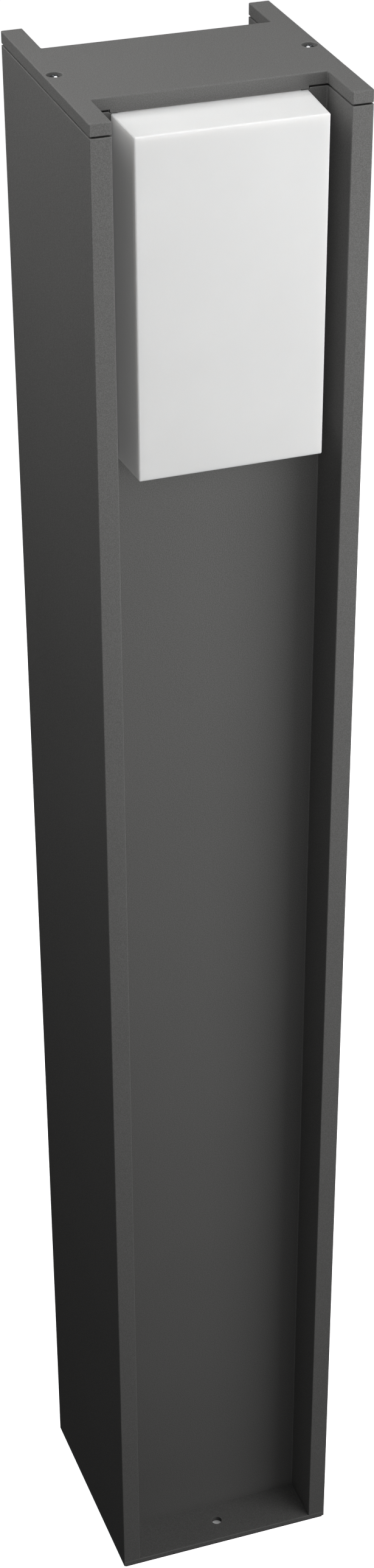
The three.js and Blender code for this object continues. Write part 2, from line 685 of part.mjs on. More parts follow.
place('driver_housing', driverHousing(), 'white');
place('driver_lid', driverLid(), 'white');
place('driver_board', box(
  -DRIVER_BOARD.halfWidth, DRIVER_BOARD.halfWidth, DRIVER_BOARD.back, DRIVER_BOARD.front,
  DRIVER.bottom + DRIVER_BOARD.inset, DRIVER.top - DRIVER_BOARD.inset,
), 'laminate');
place('driver_transformer', driverTransformer(), 'black');
place('driver_capacitor', rod(
  CAPACITOR.x, DRIVER_BOARD.front + CAPACITOR.radius, CAPACITOR.z - CAPACITOR.length / 2,
  CAPACITOR.z + CAPACITOR.length / 2, CAPACITOR.radius, 20,
), 'blue');

DRIVER_SCREW_Z.forEach((z, i) => {
  const screw = buttonScrew(SCREWS.driver).rotateX(-Math.PI / 2);
  place(`driver_screw_${i + 1}`, screw.translate(0, TRAY_BACK + EAR.thickness, z), 'zinc');
});

// ---------------------------------------------------------------- terminal block

const WIRE_Y = -4;             // depth of the wire holes and of the wires that enter them
const TERMINAL_SCREW = {
  well: 2.7,
  radius: 2.5,
  slot: 0.4,
  foot: WIRE_Y + 2.2,
  top: TERMINAL.back - 1,
};

function terminalBlock() {
  const { halfWidth, back, bottom, top, poles, hole } = TERMINAL;
  const z = TERMINAL_MIDDLE;
  return build(extrudeY(rectangle(-halfWidth, bottom, halfWidth, top, 1.2), TRAY_BACK, back), {
    cut: [
      ...poles.map((x) => rod(x, WIRE_Y, bottom - 1, top + 1, hole)),
      ...poles.map((x) => rodY(x, z, WIRE_Y, back + 1, TERMINAL_SCREW.well)),
      ...TERMINAL_SCREWS.map((x) => rodY(x, z, -20, back + 1, SCREW_HOLE)),
      ...TERMINAL_SCREWS.map((x) => rodY(x, z, back - 3, back + 1, SCREWS.terminal.head + FIT)),
    ],
  });
}

place('terminal_block', terminalBlock(), 'white');
TERMINAL.poles.forEach((x, i) => {
  const { radius, slot, foot, top } = TERMINAL_SCREW;
  const screw = rodY(x, TERMINAL_MIDDLE, foot, top, radius, 16);
  const groove = box(x - slot, x + slot, top - 1, top + 1, TERMINAL_MIDDLE - 4, TERMINAL_MIDDLE + 4);
  place(`terminal_screw_${i + 1}`, build(screw, { cut: [groove] }), 'brass');
});
TERMINAL_SCREWS.forEach((x, i) => {
  const screw = buttonScrew(SCREWS.terminal).rotateX(-Math.PI / 2);
  place(`terminal_fixing_${i + 1}`, screw.translate(x, TERMINAL.back - 3, TERMINAL_MIDDLE), 'zinc');
});

// ---------------------------------------------------------------- earth point and wiring

const LUG_FACE = TRAY_BACK + 0.1;
const LUG = { ring: 4.5, hole: 2.2, barrel: 1.8, bore: 1.3 };
const BARREL_Y = LUG_FACE + LUG.barrel;
const FEED_RADIUS = 1.1;
const LEAD_RADIUS = 0.7;

place('earth_lug', build(rodY(EARTH.x, EARTH.z, LUG_FACE, LUG_FACE + 1, LUG.ring, 20), {
  join: [
    box(EARTH.x - 9, EARTH.x - 3, LUG_FACE, LUG_FACE + 1, EARTH.z - LUG.barrel, EARTH.z + LUG.barrel),
    rodX(BARREL_Y, EARTH.z, EARTH.x - 14, EARTH.x - 7.5, LUG.barrel),
  ],
  cut: [
    rodY(EARTH.x, EARTH.z, -20, 0, LUG.hole, 16),
    rodX(BARREL_Y, EARTH.z, EARTH.x - 15, EARTH.x - 10, LUG.bore),
  ],
}), 'brass');
place('earth_screw', buttonScrew(SCREWS.earth).rotateX(-Math.PI / 2)
  .translate(EARTH.x, LUG_FACE + 1.05, EARTH.z), 'stainless');

const [LIVE_X, NEUTRAL_X, EARTH_X] = TERMINAL.poles;

[['live_wire', 'brown', LIVE_X, FEED_ENTRY.x[0]], ['neutral_wire', 'blue', NEUTRAL_X, FEED_ENTRY.x[1]]]
  .forEach(([name, colour, from, to]) => {
    place(name, wire([
      [from, WIRE_Y, TERMINAL.top - 6],
      [from, WIRE_Y, TERMINAL.top],
      [from, WIRE_Y + 1, TERMINAL.top + 10],
      [(from + to) / 2, WIRE_Y + 5, TERMINAL.top + 18],
      [to, FEED_ENTRY.y + 2, DRIVER.bottom - 10],
      [to, FEED_ENTRY.y, DRIVER.bottom - 3],
      [to, FEED_ENTRY.y, DRIVER.bottom + 3],
    ], FEED_RADIUS), colour);
  });
place('earth_wire', wire([
  [EARTH_X, WIRE_Y, TERMINAL.top - 6],
  [EARTH_X, WIRE_Y, TERMINAL.top + 2],
  [EARTH_X + 1, WIRE_Y - 2, TERMINAL.top + 6],
  [EARTH_X + 4, LUG_FACE + 2, EARTH.z],
  [EARTH.x - 15, BARREL_Y, EARTH.z],
  [EARTH.x - 11, BARREL_Y, EARTH.z],
], FEED_RADIUS), 'green');

[['led_lead_positive', 'red', 1], ['led_lead_negative', 'black', -1]].forEach(([name, colour, sign]) => {
  const z = GROMMET.z + LEAD_GAP * sign;
  place(name, wire([
    [DRIVER.halfWidth - 4, LEAD_EXIT.y, z],
    [DRIVER.halfWidth + 4, LEAD_EXIT.y, z],
    [34, 0.5, z],
    [GROMMET.x, -5, z],
    [GROMMET.x, TRAY_BACK - 0.7, z],
    [GROMMET.x, SERVICE.front - 1.5, z],
    [36.8, BOARD_FRONT - 1.2, z + sign],
    [34.5, BOARD_FRONT - 1, z + 2 * sign],
    [32, BOARD_FRONT - 0.8, z + 3 * sign],
  ], LEAD_RADIUS), colour);
});

export default bollard;
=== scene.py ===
"""A garden bollard light: an H-section post in fine-textured grey powder coat, an opal light box in
its front recess, a screwed cap that carries the gear tray, and a base plate with a cable gland.
Solids are drawn in millimetres and scaled to metres when they become pieces."""
import json
import math

import bmesh
import bpy
from mathutils import Matrix, Vector


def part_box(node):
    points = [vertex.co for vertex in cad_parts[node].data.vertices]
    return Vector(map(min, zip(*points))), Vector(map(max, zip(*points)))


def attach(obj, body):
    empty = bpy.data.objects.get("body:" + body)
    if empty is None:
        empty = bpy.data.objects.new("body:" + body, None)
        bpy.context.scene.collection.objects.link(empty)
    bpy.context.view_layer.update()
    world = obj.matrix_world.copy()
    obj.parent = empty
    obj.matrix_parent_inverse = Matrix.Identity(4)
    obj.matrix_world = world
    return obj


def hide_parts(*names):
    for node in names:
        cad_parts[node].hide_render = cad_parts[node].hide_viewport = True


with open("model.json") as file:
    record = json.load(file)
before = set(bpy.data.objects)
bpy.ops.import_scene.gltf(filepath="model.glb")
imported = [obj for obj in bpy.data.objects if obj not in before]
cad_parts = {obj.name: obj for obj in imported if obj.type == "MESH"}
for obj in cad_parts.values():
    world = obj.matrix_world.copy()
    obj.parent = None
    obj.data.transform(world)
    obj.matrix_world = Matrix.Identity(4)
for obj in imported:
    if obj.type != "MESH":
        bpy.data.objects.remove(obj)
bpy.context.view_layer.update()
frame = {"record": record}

MM = 0.001

# ------------------------------------------------------------------ camera

CAMERA_PLACE = Vector((-0.3888, -1.1134, 1.1519))
CAMERA_AZIMUTH = -19.665       # degrees; 0 looks along +Y
CAMERA_ELEVATION = 39.132
CAMERA_LENS = 67.77            # mm, on a 36 mm sensor
CAMERA_SHIFT = (-0.0116, 0.2675)
CAMERA_REACH = 30              # metres


def direction(azimuth, elevation):
    """The unit vector from the object towards a viewer or a light at these angles, in degrees."""
    turn, rise = math.radians(azimuth), math.radians(elevation)
    return Vector((math.sin(turn) * math.cos(rise), -math.cos(turn) * math.cos(rise), math.sin(rise)))


def make_camera():
    data = bpy.data.cameras.new("camera")
    data.sensor_width = 36
    data.lens = CAMERA_LENS
    data.shift_x, data.shift_y = CAMERA_SHIFT
    data.clip_end = CAMERA_REACH
    camera = bpy.data.objects.new("camera", data)
    camera.rotation_mode = "QUATERNION"
    camera.rotation_quaternion = (-direction(CAMERA_AZIMUTH, CAMERA_ELEVATION)).to_track_quat("-Z", "Y")
    camera.location = CAMERA_PLACE
    bpy.context.collection.objects.link(camera)
    bpy.context.scene.camera = camera


make_camera()

# ------------------------------------------------------------------ places, from the frame


def box_mm(node):
    """The lowest and highest corner of a CAD node, in millimetres."""
    low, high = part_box(node)
    return low / MM, high / MM


def middle(node):
    low, high = box_mm(node)
    return (low + high) / 2


BODY = {node: body for body, nodes in frame["record"]["behaviour"]["bodies"].items() for node in nodes}
SLOT = {part["node"]: part["material_slot"] for part in frame["record"]["subparts"]}

POST_LOW, POST_HIGH = box_mm("post_body")
CAP_LOW, CAP_HIGH = box_mm("top_cap")
BASE_LOW, BASE_HIGH = box_mm("base_plate")
LIGHT_LOW, LIGHT_HIGH = box_mm("diffuser")
TRAY_LOW, TRAY_HIGH = box_mm("gear_tray")

HALF = POST_HIGH.x
FLOOR = POST_LOW.z
POST_TOP = POST_HIGH.z
HEIGHT = CAP_HIGH.z
CAP_BOTTOM = HEIGHT - 5        # underside of the visible cap plate
BASE_BOTTOM = BASE_LOW.z
PLATFORM_TOP = BASE_HIGH.z

FIN = 9                        # thickness of each fin
RECESS = 26                    # depth of the front and the rear recess
WALL = 2                       # extrusion wall round the middle tube
FIN_WALL = 1.8
EDGE = 0.5                     # radius of the outer corners
FIT = 0.3                      # gap between pieces that slot together
CLEAR = 0.02                   # keeps faces of one solid out of one plane
FIN_X = HALF - FIN
WEB_Y = HALF - RECESS
CAVITY_X = HALF - WALL
CAVITY_Y = WEB_Y - WALL
LED_FRONT = box_mm("led_1")[1].y - 0.8  # face of the white housing; the gel stands in front of it
QUARTERS = [(-1, -1), (1, -1), (1, 1), (-1, 1)]
SIDES = [("left", -1), ("right", 1)]

# ------------------------------------------------------------------ outlines


def rounded(corners, radius, steps=5):
    """A closed outline whose corners are arcs of the given radius."""
    outline = []
    for i, corner in enumerate(corners):
        point = Vector(corner)
        before = (Vector(corners[i - 1]) - point).normalized()
        after = (Vector(corners[(i + 1) % len(corners)]) - point).normalized()
        half = before.angle(after) / 2
        centre = point + (before + after).normalized() * (radius / math.sin(half))
        start = point + before * (radius / math.tan(half)) - centre
        turn = math.copysign(math.pi - 2 * half, after.x * before.y - after.y * before.x)
        outline += [start @ Matrix.Rotation(-turn * k / steps, 2) + centre for k in range(steps + 1)]
    return outline


def rectangle(x0, y0, x1, y1, radius=0.0, steps=5):
    corners = [(x0, y0), (x1, y0), (x1, y1), (x0, y1)]
    return rounded(corners, radius, steps) if radius else corners


def quarter(steps, first=0, last=None):
    """Angles in a quarter turn that is split into equal steps, from the first to the last of them."""
    return [math.pi / 2 * k / steps for k in range(first, (steps if last is None else last) + 1)]


def circle(x, y, radius, steps=32, start=0.0):
    turns = [start + math.tau * k / steps for k in range(steps)]
    return [(x + radius * math.cos(turn), y + radius * math.sin(turn)) for turn in turns]


def h_section(inset, radius):
    """The H outline of the post, the cap and its gasket, drawn in by inset."""
    outer = HALF - inset
    fin = FIN_X + inset
    web = WEB_Y - inset
    half = [(-outer, -outer), (-fin, -outer), (-fin, -web), (fin, -web), (fin, -outer), (outer, -outer)]
    return rounded(half + [(-x, -y) for x, y in half], radius)


# ------------------------------------------------------------------ solids


def weld(mesh):
    """Joins points that meet and turns every face outwards."""
    work = bmesh.new()
    work.from_mesh(mesh)
    bmesh.ops.remove_doubles(work, verts=work.verts, dist=1e-3)
    bmesh.ops.recalc_face_normals(work, faces=work.faces)
    if work.calc_volume(signed=True) < 0:
        bmesh.ops.reverse_faces(work, faces=work.faces)
    work.to_mesh(mesh)
    work.free()
    return mesh


def drawn(curve):
    """The mesh of a curve, which is then removed."""
    item = bpy.data.objects.new(curve.name, curve)
    mesh = weld(bpy.data.meshes.new_from_object(item))
    bpy.data.objects.remove(item)
    bpy.data.curves.remove(curve)
    return mesh


def prism(outline, low, high, rim=0.0, holes=(), along="Z"):
    """An outline with holes, extruded from low to high with its end edges rounded by rim.
    Along Y, the outline is drawn in X and Z."""
    curve = bpy.data.curves.new("outline", "CURVE")
    curve.dimensions = "2D"
    curve.fill_mode = "BOTH"
    curve.extrude = (high - low) / 2 - rim
    curve.bevel_depth = rim
    curve.bevel_resolution = 2
    curve.offset = -rim
    for loop in [outline, *holes]:
        spline = curve.splines.new("POLY")
        spline.points.add(len(loop) - 1)
        spline.use_cyclic_u = True
        for point, (x, y) in zip(spline.points, loop):
            point.co = (x, y, 0, 1)
    mesh = drawn(curve)
    if along == "Y":
        upright = Matrix.Rotation(math.pi / 2, 4, "X")
        mesh.transform(upright @ Matrix.Translation((0, 0, -(low + high) / 2)))
    else:
        mesh.transform(Matrix.Translation((0, 0, (low + high) / 2)))
    return mesh


def loft(rings):
    """A closed skin over rings of points that all have the same number of points."""
    mesh = bpy.data.meshes.new("loft")
    count = len(rings[0])
    points = [tuple(point) for ring in rings for point in ring]
    faces = []
    for near in range(0, len(points) - count, count):
        far = near + count
        for k in range(count):
            after = (k + 1) % count
            faces.append((near + k, near + after, far + after, far + k))
    faces.append(tuple(reversed(range(count))))
    faces.append(tuple(range(len(points) - count, len(points))))
    mesh.from_pydata(points, [], faces)
    return weld(mesh)


def turned(profile, steps=40):
    """A turned solid about Z from (radius, z) points.
    The first and the last point lie on the axis, or else the profile closes on itself."""
    mesh = bpy.data.meshes.new("turned")
    points, rings = [], []
    for radius, z in profile:
        count = steps if radius > 0 else 1
        rings.append([len(points) + k for k in range(count)])
        points += [(radius * math.cos(math.tau * k / steps), radius * math.sin(math.tau * k / steps), z)
                   for k in range(count)]
    if profile[0][0] > 0:
        rings.append(rings[0])
    faces = []
    for low, high in zip(rings, rings[1:]):
        for k in range(steps):
            near = [ring[k % len(ring)] for ring in (low, high)]
            far = [ring[(k + 1) % len(ring)] for ring in (low, high)]
            faces.append(tuple(dict.fromkeys((near[0], *far, near[1]))))
    mesh.from_pydata(points, [], [face for face in faces if len(face) > 2])
    return weld(mesh)


def rod(x, y, low, high, radius, steps=32):
    return prism(circle(x, y, radius, steps), low, high)


def rod_y(x, z, low, high, radius, steps=32):
    return prism(circle(x, z, radius, steps), low, high, along="Y")


def rod_x(y, z, low, high, radius, steps=24):
    return placed(rod(0, 0, low, high, radius, steps), 0, y, z, math.pi / 2, "Y")


def tube(points, radius, steps=10):
    """A round wire along a smooth curve (a centripetal Catmull-Rom spline) through the points."""
    knots = [Vector(point) for point in points]
    knots = [2 * knots[0] - knots[1], *knots, 2 * knots[-1] - knots[-2]]
    path = []
    for before, start, end, after in zip(knots, knots[1:], knots[2:], knots[3:]):
        pairs = ((before, start), (start, end), (end, after))
        first, span, last = (math.sqrt((q - p).length) for p, q in pairs)
        leave = (start - before) * span / first - (end - before) * span / (first + span) + (end - start)
        reach = (end - start) - (after - start) * span / (span + last) + (after - end) * span / last
        for k in range(steps):
            t = k / steps
            path.append(
                start * (2 * t**3 - 3 * t**2 + 1) + leave * (t**3 - 2 * t**2 + t)
                + end * (3 * t**2 - 2 * t**3) + reach * (t**3 - t**2)
            )
    path.append(knots[-2])
    curve = bpy.data.curves.new("wire", "CURVE")
    curve.dimensions = "3D"
    curve.bevel_depth = radius
    curve.bevel_resolution = 4
    curve.use_fill_caps = True
    spline = curve.splines.new("POLY")
    spline.points.add(len(path) - 1)
    for point, place in zip(spline.points, path):
        point.co = (*place, 1)
    return drawn(curve)


def block(x0, x1, y0, y1, z0, z1, rim=0.0):
    return prism(rectangle(x0, y0, x1, y1, rim), z0, z1, rim)


def placed(mesh, x, y, z, turn=0.0, axis="X"):
    mesh.transform(Matrix.Translation((x, y, z)) @ Matrix.Rotation(turn, 4, axis))
    return mesh


def combine(body, join=(), cut=()):
    """The body with other solids joined to it and then cut from it."""
    base = bpy.data.objects.new("base", body)
    bpy.context.collection.objects.link(base)
    others = []
    for operation, meshes in (("UNION", join), ("DIFFERENCE", cut)):
        for mesh in meshes:
            other = bpy.data.objects.new("other", mesh)
            bpy.context.collection.objects.link(other)
            others.append(other)
            modifier = base.modifiers.new(operation, "BOOLEAN")
            modifier.operation = operation
            modifier.solver = "MANIFOLD"
            modifier.object = other
    made = bpy.data.meshes.new_from_object(base.evaluated_get(bpy.context.evaluated_depsgraph_get()))
    for item in (base, *others):
        bpy.data.objects.remove(item)
    return weld(made)


# ------------------------------------------------------------------ materials


class Finish:
    """One procedural material: a Principled shader and the nodes that feed it."""

    def __init__(self, name, metallic=0.0, **constants):
        self.material = bpy.data.materials.new(name)
        self.material.use_nodes = True
        self.nodes = self.material.node_tree.nodes
        self.links = self.material.node_tree.links
        self.shader = self.nodes["Principled BSDF"]
        self.shader.inputs["Metallic"].default_value = metallic
        for socket, value in constants.items():
            self.shader.inputs[socket.replace("_", " ")].default_value = value
        self.place = self.nodes.new("ShaderNodeTexCoord").outputs["Object"]

    def stretched(self, x, y, z):
        node = self.nodes.new("ShaderNodeMapping")
        node.inputs["Scale"].default_value = (x, y, z)
        self.links.new(self.place, node.inputs["Vector"])
        return node.outputs["Vector"]

    def noise(self, size, detail=2.0, roughness=0.5, vector=None):
        """Noise whose features are about size metres across."""
        node = self.nodes.new("ShaderNodeTexNoise")
        node.inputs["Scale"].default_value = 1 / size
        node.inputs["Detail"].default_value = detail
        node.inputs["Roughness"].default_value = roughness
        self.links.new(vector or self.place, node.inputs["Vector"])
        return node.outputs["Fac"]

    def span(self, value, low, high, start=0.3, end=0.7):
        """Maps value from start..end to low..high."""
        node = self.nodes.new("ShaderNodeMapRange")
        node.inputs["From Min"].default_value = start
        node.inputs["From Max"].default_value = end
        node.inputs["To Min"].default_value = low
        node.inputs["To Max"].default_value = high
        self.links.new(value, node.inputs["Value"])
        return node.outputs["Result"]

    def blend(self, factor, first, second):
        """A colour between two, each of them a colour or another socket."""
        node = self.nodes.new("ShaderNodeMix")
        node.data_type = "RGBA"
        for socket, value in ((node.inputs[6], first), (node.inputs[7], second)):
            if isinstance(value, bpy.types.NodeSocket):
                self.links.new(value, socket)
            else:
                socket.default_value = (*value, 1)
        self.links.new(factor, node.inputs[0])
        return node.outputs[2]

    def edges(self, width, low, high):
        """Rises from 0 to 1 where the surface bends within width of the point."""
        bevel = self.nodes.new("ShaderNodeBevel")
        bevel.samples = 6
        bevel.inputs["Radius"].default_value = width
        bend = self.nodes.new("ShaderNodeVectorMath")
        bend.operation = "DOT_PRODUCT"
        self.links.new(bevel.outputs["Normal"], bend.inputs[0])
        self.links.new(self.nodes.new("ShaderNodeNewGeometry").outputs["Normal"], bend.inputs[1])
        return self.span(bend.outputs["Value"], 1, 0, 1 - high, 1 - low)

    def colour(self, socket):
        self.links.new(socket, self.shader.inputs["Base Color"])
        return self

    def rough(self, socket):
        self.links.new(socket, self.shader.inputs["Roughness"])
        return self

    def bump(self, *layers):
        """Adds bumps, each a height socket and its depth in metres."""
        normal = None
        for height, depth in layers:
            node = self.nodes.new("ShaderNodeBump")
            node.inputs["Distance"].default_value = depth
            self.links.new(height, node.inputs["Height"])
            if normal:
                self.links.new(normal, node.inputs["Normal"])
            normal = node.outputs["Normal"]
        self.links.new(normal, self.shader.inputs["Normal"])
        return self


def powder_coat():
    """Fine-textured grey polyester powder: grains half a millimetre across over a slow orange peel,
    and a paler line along each edge, a painted highlight where the rounded edges catch the light."""
    made = Finish("powder_coat", Specular_IOR_Level=0.35)
    grain = made.noise(0.00045, 2)
    peel = made.noise(0.0022, 1)
    cloud = made.noise(0.06, 3)
    tone = made.blend(made.span(cloud, 0, 1), (0.1, 0.099, 0.096), (0.109, 0.108, 0.105))
    coat = made.blend(made.span(grain, 0, 1, 0.35, 0.7), tone, (0.148, 0.147, 0.144))
    # painted highlight: a paler colour along the rounded edges, standing in for the light they catch
    made.colour(made.blend(made.edges(0.0009, 0.01, 0.12), coat, (0.18, 0.179, 0.175)))
    made.rough(made.span(grain, 0.62, 0.5))
    return made.bump((peel, 0.00006), (grain, 0.00005)).material


def opal_acrylic():
    """Milky acrylic; the faint glow stands for daylight that the white gear inside throws back."""
    made = Finish("opal_acrylic", Specular_IOR_Level=0.5, Subsurface_Weight=0.8, Subsurface_Scale=0.005)
    made.shader.inputs["Subsurface Radius"].default_value = (1.0, 0.96, 0.92)
    made.shader.inputs["Emission Color"].default_value = (1, 1, 1, 1)
    made.shader.inputs["Emission Strength"].default_value = 0.05
    cloud = made.noise(0.03, 2)
    made.colour(made.blend(made.span(cloud, 0, 1), (0.72, 0.72, 0.715), (0.74, 0.74, 0.735)))
    made.rough(made.span(made.noise(0.0008, 2), 0.3, 0.42))
    return made.bump((made.noise(0.0011, 2), 0.00001)).material


def moulded(name, dark, light, grain=0.0006, rough=(0.42, 0.58)):
    """Injection-moulded plastic with a fine spark-eroded grain."""
    made = Finish(name)
    fine = made.noise(grain, 2)
    made.colour(made.blend(made.span(made.noise(0.012, 3), 0, 1), dark, light))
    made.rough(made.span(fine, *rough))
    return made.bump((fine, 0.00003)).material


def rubber():
    """Calendered EPDM with a bloom of dust."""
    made = Finish("rubber", Specular_IOR_Level=0.3)
    fine = made.noise(0.0004, 3)
    bloom = made.span(made.noise(0.006, 4), 0, 1)
    made.colour(made.blend(bloom, (0.010, 0.010, 0.011), (0.021, 0.021, 0.020)))
    made.rough(made.span(fine, 0.72, 0.92))
    return made.bump((fine, 0.00006)).material


def machined(name, dark, light, streak, rough):
    """Bare metal with fine drawn or rolled streaks along the stretched direction."""
    made = Finish(name, metallic=1.0)
    lines = made.noise(0.0016, 3, 0.6, made.stretched(*streak))
    made.colour(made.blend(made.span(lines, 0, 1), dark, light))
    made.rough(made.span(made.noise(0.004, 3), *rough))
    return made.bump((lines, 0.00001)).material


def laminate():
    """Green solder mask over glass weave."""
    made = Finish("laminate", Specular_IOR_Level=0.5)
    weave = made.noise(0.0007, 1, vector=made.stretched(1, 1, 0.3))
    made.colour(made.blend(made.span(weave, 0, 1), (0.012, 0.09, 0.03), (0.02, 0.14, 0.05)))
    made.rough(made.span(made.noise(0.005), 0.25, 0.4))
    return made.bump((weave, 0.00001)).material


def phosphor():
    """Yellow phosphor gel, and white ceramic behind the plane of the housing's front."""
    made = Finish("phosphor", Subsurface_Weight=0.4, Subsurface_Scale=0.001)
    split = made.nodes.new("ShaderNodeSeparateXYZ")
    made.links.new(made.place, split.inputs[0])
    housing = LED_FRONT * MM
    ceramic = made.span(split.outputs["Y"], 0, 1, housing - 0.00005, housing + 0.00002)
    gel = made.blend(made.span(made.noise(0.0005, 3), 0, 1), (0.75, 0.52, 0.06), (0.86, 0.66, 0.12))
    made.colour(made.blend(ceramic, gel, (0.82, 0.82, 0.8)))
    made.rough(made.span(made.noise(0.001), 0.2, 0.35))
    return made.material


MATERIALS = {
    "coating": powder_coat(),
    "opal": opal_acrylic(),
    "stainless": machined(
        "stainless", (0.52, 0.53, 0.54), (0.66, 0.67, 0.68), (1, 1, 0.15), (0.16, 0.26)),
    "zinc": machined("zinc_plate", (0.40, 0.42, 0.44), (0.55, 0.57, 0.60), (1, 1, 1), (0.30, 0.46)),
    "aluminium": machined(
        "mill_aluminium", (0.4, 0.41, 0.42), (0.5, 0.51, 0.52), (1, 1, 0.03), (0.52, 0.64)),
    "rubber": rubber(),
    "grey_plastic": moulded("grey_polyamide", (0.030, 0.031, 0.034), (0.040, 0.041, 0.045)),
    "white_plastic": moulded("white_polycarbonate", (0.74, 0.74, 0.71), (0.82, 0.82, 0.79)),
    "board": moulded("white_solder_mask", (0.72, 0.74, 0.70), (0.80, 0.82, 0.78), 0.0003, (0.28, 0.40)),
    "laminate": laminate(),
    "phosphor": phosphor(),
    "pad": moulded("silicone_pad", (0.22, 0.28, 0.34), (0.28, 0.34, 0.40), 0.0005, (0.65, 0.85)),
    "brown": moulded("brown_insulation", (0.10, 0.040, 0.018), (0.14, 0.055, 0.026), 0.0005),
    "blue": moulded("blue_insulation", (0.012, 0.09, 0.34), (0.018, 0.12, 0.42), 0.0005),
    "green": moulded("green_insulation", (0.06, 0.24, 0.03), (0.09, 0.30, 0.04), 0.0005),
    "red": moulded("red_insulation", (0.38, 0.016, 0.014), (0.47, 0.024, 0.02), 0.0005),
    "black": moulded("black_insulation", (0.006, 0.006, 0.006), (0.014, 0.014, 0.014), 0.0005),
    "brass": machined("brass", (0.60, 0.40, 0.13), (0.74, 0.52, 0.20), (1, 1, 1), (0.26, 0.40)),
}

# ------------------------------------------------------------------ pieces


def shade(mesh, sharp=32):
    """Smooth over rounded edges, sharp where faces meet at more than the given angle."""
    mesh.shade_smooth()
    mesh.set_sharp_from_angle(angle=math.radians(sharp))


def piece(node, mesh):
    """Makes the piece in place of a CAD node, on the same body and with the same material slot."""
    mesh.transform(Matrix.Scale(MM, 4))
    mesh.materials.clear()
    mesh.materials.append(MATERIALS[SLOT[node]])
    shade(mesh)
    made = bpy.data.objects.new(f"look_{node}", mesh)
    bpy.context.collection.objects.link(made)
    normals = made.modifiers.new("normals", "WEIGHTED_NORMAL")
    normals.keep_sharp = True
    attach(made, BODY[node])
    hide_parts(node)


# ------------------------------------------------------------------ post and base

CAP_SCREW_X = 53
BASE_PORT = (52, 26)
PORT_RADIUS = 4
BASE_PORT_RADIUS = 4.2
CAP_THREAD = 1.6               # bores of the ports
BASE_THREAD = 2.1
WINDOW_HALF = 38               # window in the web, for the neck of the light box
WINDOW_BOTTOM = 625.1
RELIEF_HALF = 41               # wider cut above the light box, for the lip of the cap
RELIEF_BOTTOM = LIGHT_HIGH.z + 0.2
GROUND_HOLE_Y = 44
GROUND_HOLE = 2.75
GLAND_HOLE = 10.2


def ports(extra, low, high):
    """The six screw ports as rods, grown by extra."""
    rods = [rod(side * CAP_SCREW_X, 0, low, high, PORT_RADIUS + extra) for _, side in SIDES]
    x, y = BASE_PORT
    return rods + [rod(sx * x, sy * y, low, high, BASE_PORT_RADIUS + extra) for sx, sy in QUARTERS]


def post_body():
    """The extrusion: an H with hollow fins, a middle tube with six screw ports, and the window."""
    x, y = BASE_PORT
    below = FLOOR - 1
    above = POST_TOP + 1
    near, far = FIN_X + FIN_WALL, HALF - FIN_WALL
    cells = []
    for sx, sy in QUARTERS:
        x0, x1 = sorted((sx * near, sx * far))
        y0, y1 = sorted((sy * WEB_Y, sy * far))
        cells.append(rectangle(x0, y0, x1, y1, 0.6))
    cavity = rectangle(-CAVITY_X, -CAVITY_Y, CAVITY_X, CAVITY_Y, 0.8)
    hollow = prism(h_section(0, EDGE), FLOOR, POST_TOP, 0.12, [cavity, *cells])
    window = block(-WINDOW_HALF, WINDOW_HALF, -WEB_Y - 1, -CAVITY_Y + 0.4, WINDOW_BOTTOM, above)
    relief = block(-RELIEF_HALF, RELIEF_HALF, -WEB_Y - 1, -CAVITY_Y + 0.4, RELIEF_BOTTOM, above)
    bores = [rod(side * CAP_SCREW_X, 0, below, above, CAP_THREAD, 24) for _, side in SIDES]
    bores += [rod(sx * x, sy * y, below, above, BASE_THREAD, 24) for sx, sy in QUARTERS]
    return combine(hollow, ports(0, FLOOR + 0.01, POST_TOP - 0.01), [window, relief, *bores])


def base_plate():
    """A plate with a platform that slots into the tube, and the holes for the gland and the screws."""
    x, y = BASE_PORT
    inner_x, inner_y = CAVITY_X - FIT, CAVITY_Y - FIT
    plate = prism(rectangle(-HALF, -HALF, HALF, HALF, EDGE), BASE_BOTTOM, FLOOR, 0.25)
    platform = combine(
        prism(rectangle(-inner_x, -inner_y, inner_x, inner_y, 0.8), FLOOR - 1, PLATFORM_TOP, 0.3),
        cut=ports(FIT, FLOOR - 2, PLATFORM_TOP + 1),
    )
    holes = [rod(0, sy * GROUND_HOLE_Y, 0, FLOOR + 1, GROUND_HOLE, 40) for sy in (-1, 1)]
    holes.append(rod(0, 0, 0, PLATFORM_TOP + 1, GLAND_HOLE, 48))
    for sx, sy in QUARTERS:
        holes.append(rod(sx * x, sy * y, 0, FLOOR + 1, 2.2))
        sink = turned([(0, -1), (4.1, -1), (4.1, 0.4), (2.2, 2.1), (0, 2.1)], 32)
        holes.append(placed(sink, sx * x, sy * y, BASE_BOTTOM))
    return combine(plate, [platform], holes)


piece("post_body", post_body())
piece("base_plate", base_plate())

# ------------------------------------------------------------------ opal light box

LIGHT_DRAFT = 0.8              # growth of each side from the front to the back
LIGHT_WALL = 2.5
LIGHT_EDGE = 0.6               # radius round the front face
FACE_HALF = 39.7               # front face, out to its sharp corners
FACE_TOP = 762.9
FACE_BOTTOM = 623.9
LIGHT_FRONT = LIGHT_LOW.y
LIGHT_BACK = -WEB_Y - 0.2
RIM_BACK = LIGHT_HIGH.y
RIM_FRONT = RIM_BACK - 2
NECK_HALF = WINDOW_HALF - FIT


def frame_ring(half, bottom, top, y, radius):
    return [(x, y, z) for x, z in rectangle(-half, bottom, half, top, radius, 6)]


def drafted_ring(inset, y, radius):
    """A ring round the light box at a depth y, grown by the moulding draft towards the back."""
    grow = LIGHT_DRAFT * (y - LIGHT_FRONT) / (LIGHT_BACK - LIGHT_FRONT) - inset
    return frame_ring(FACE_HALF + grow, FACE_BOTTOM - grow, FACE_TOP + grow, y, radius)


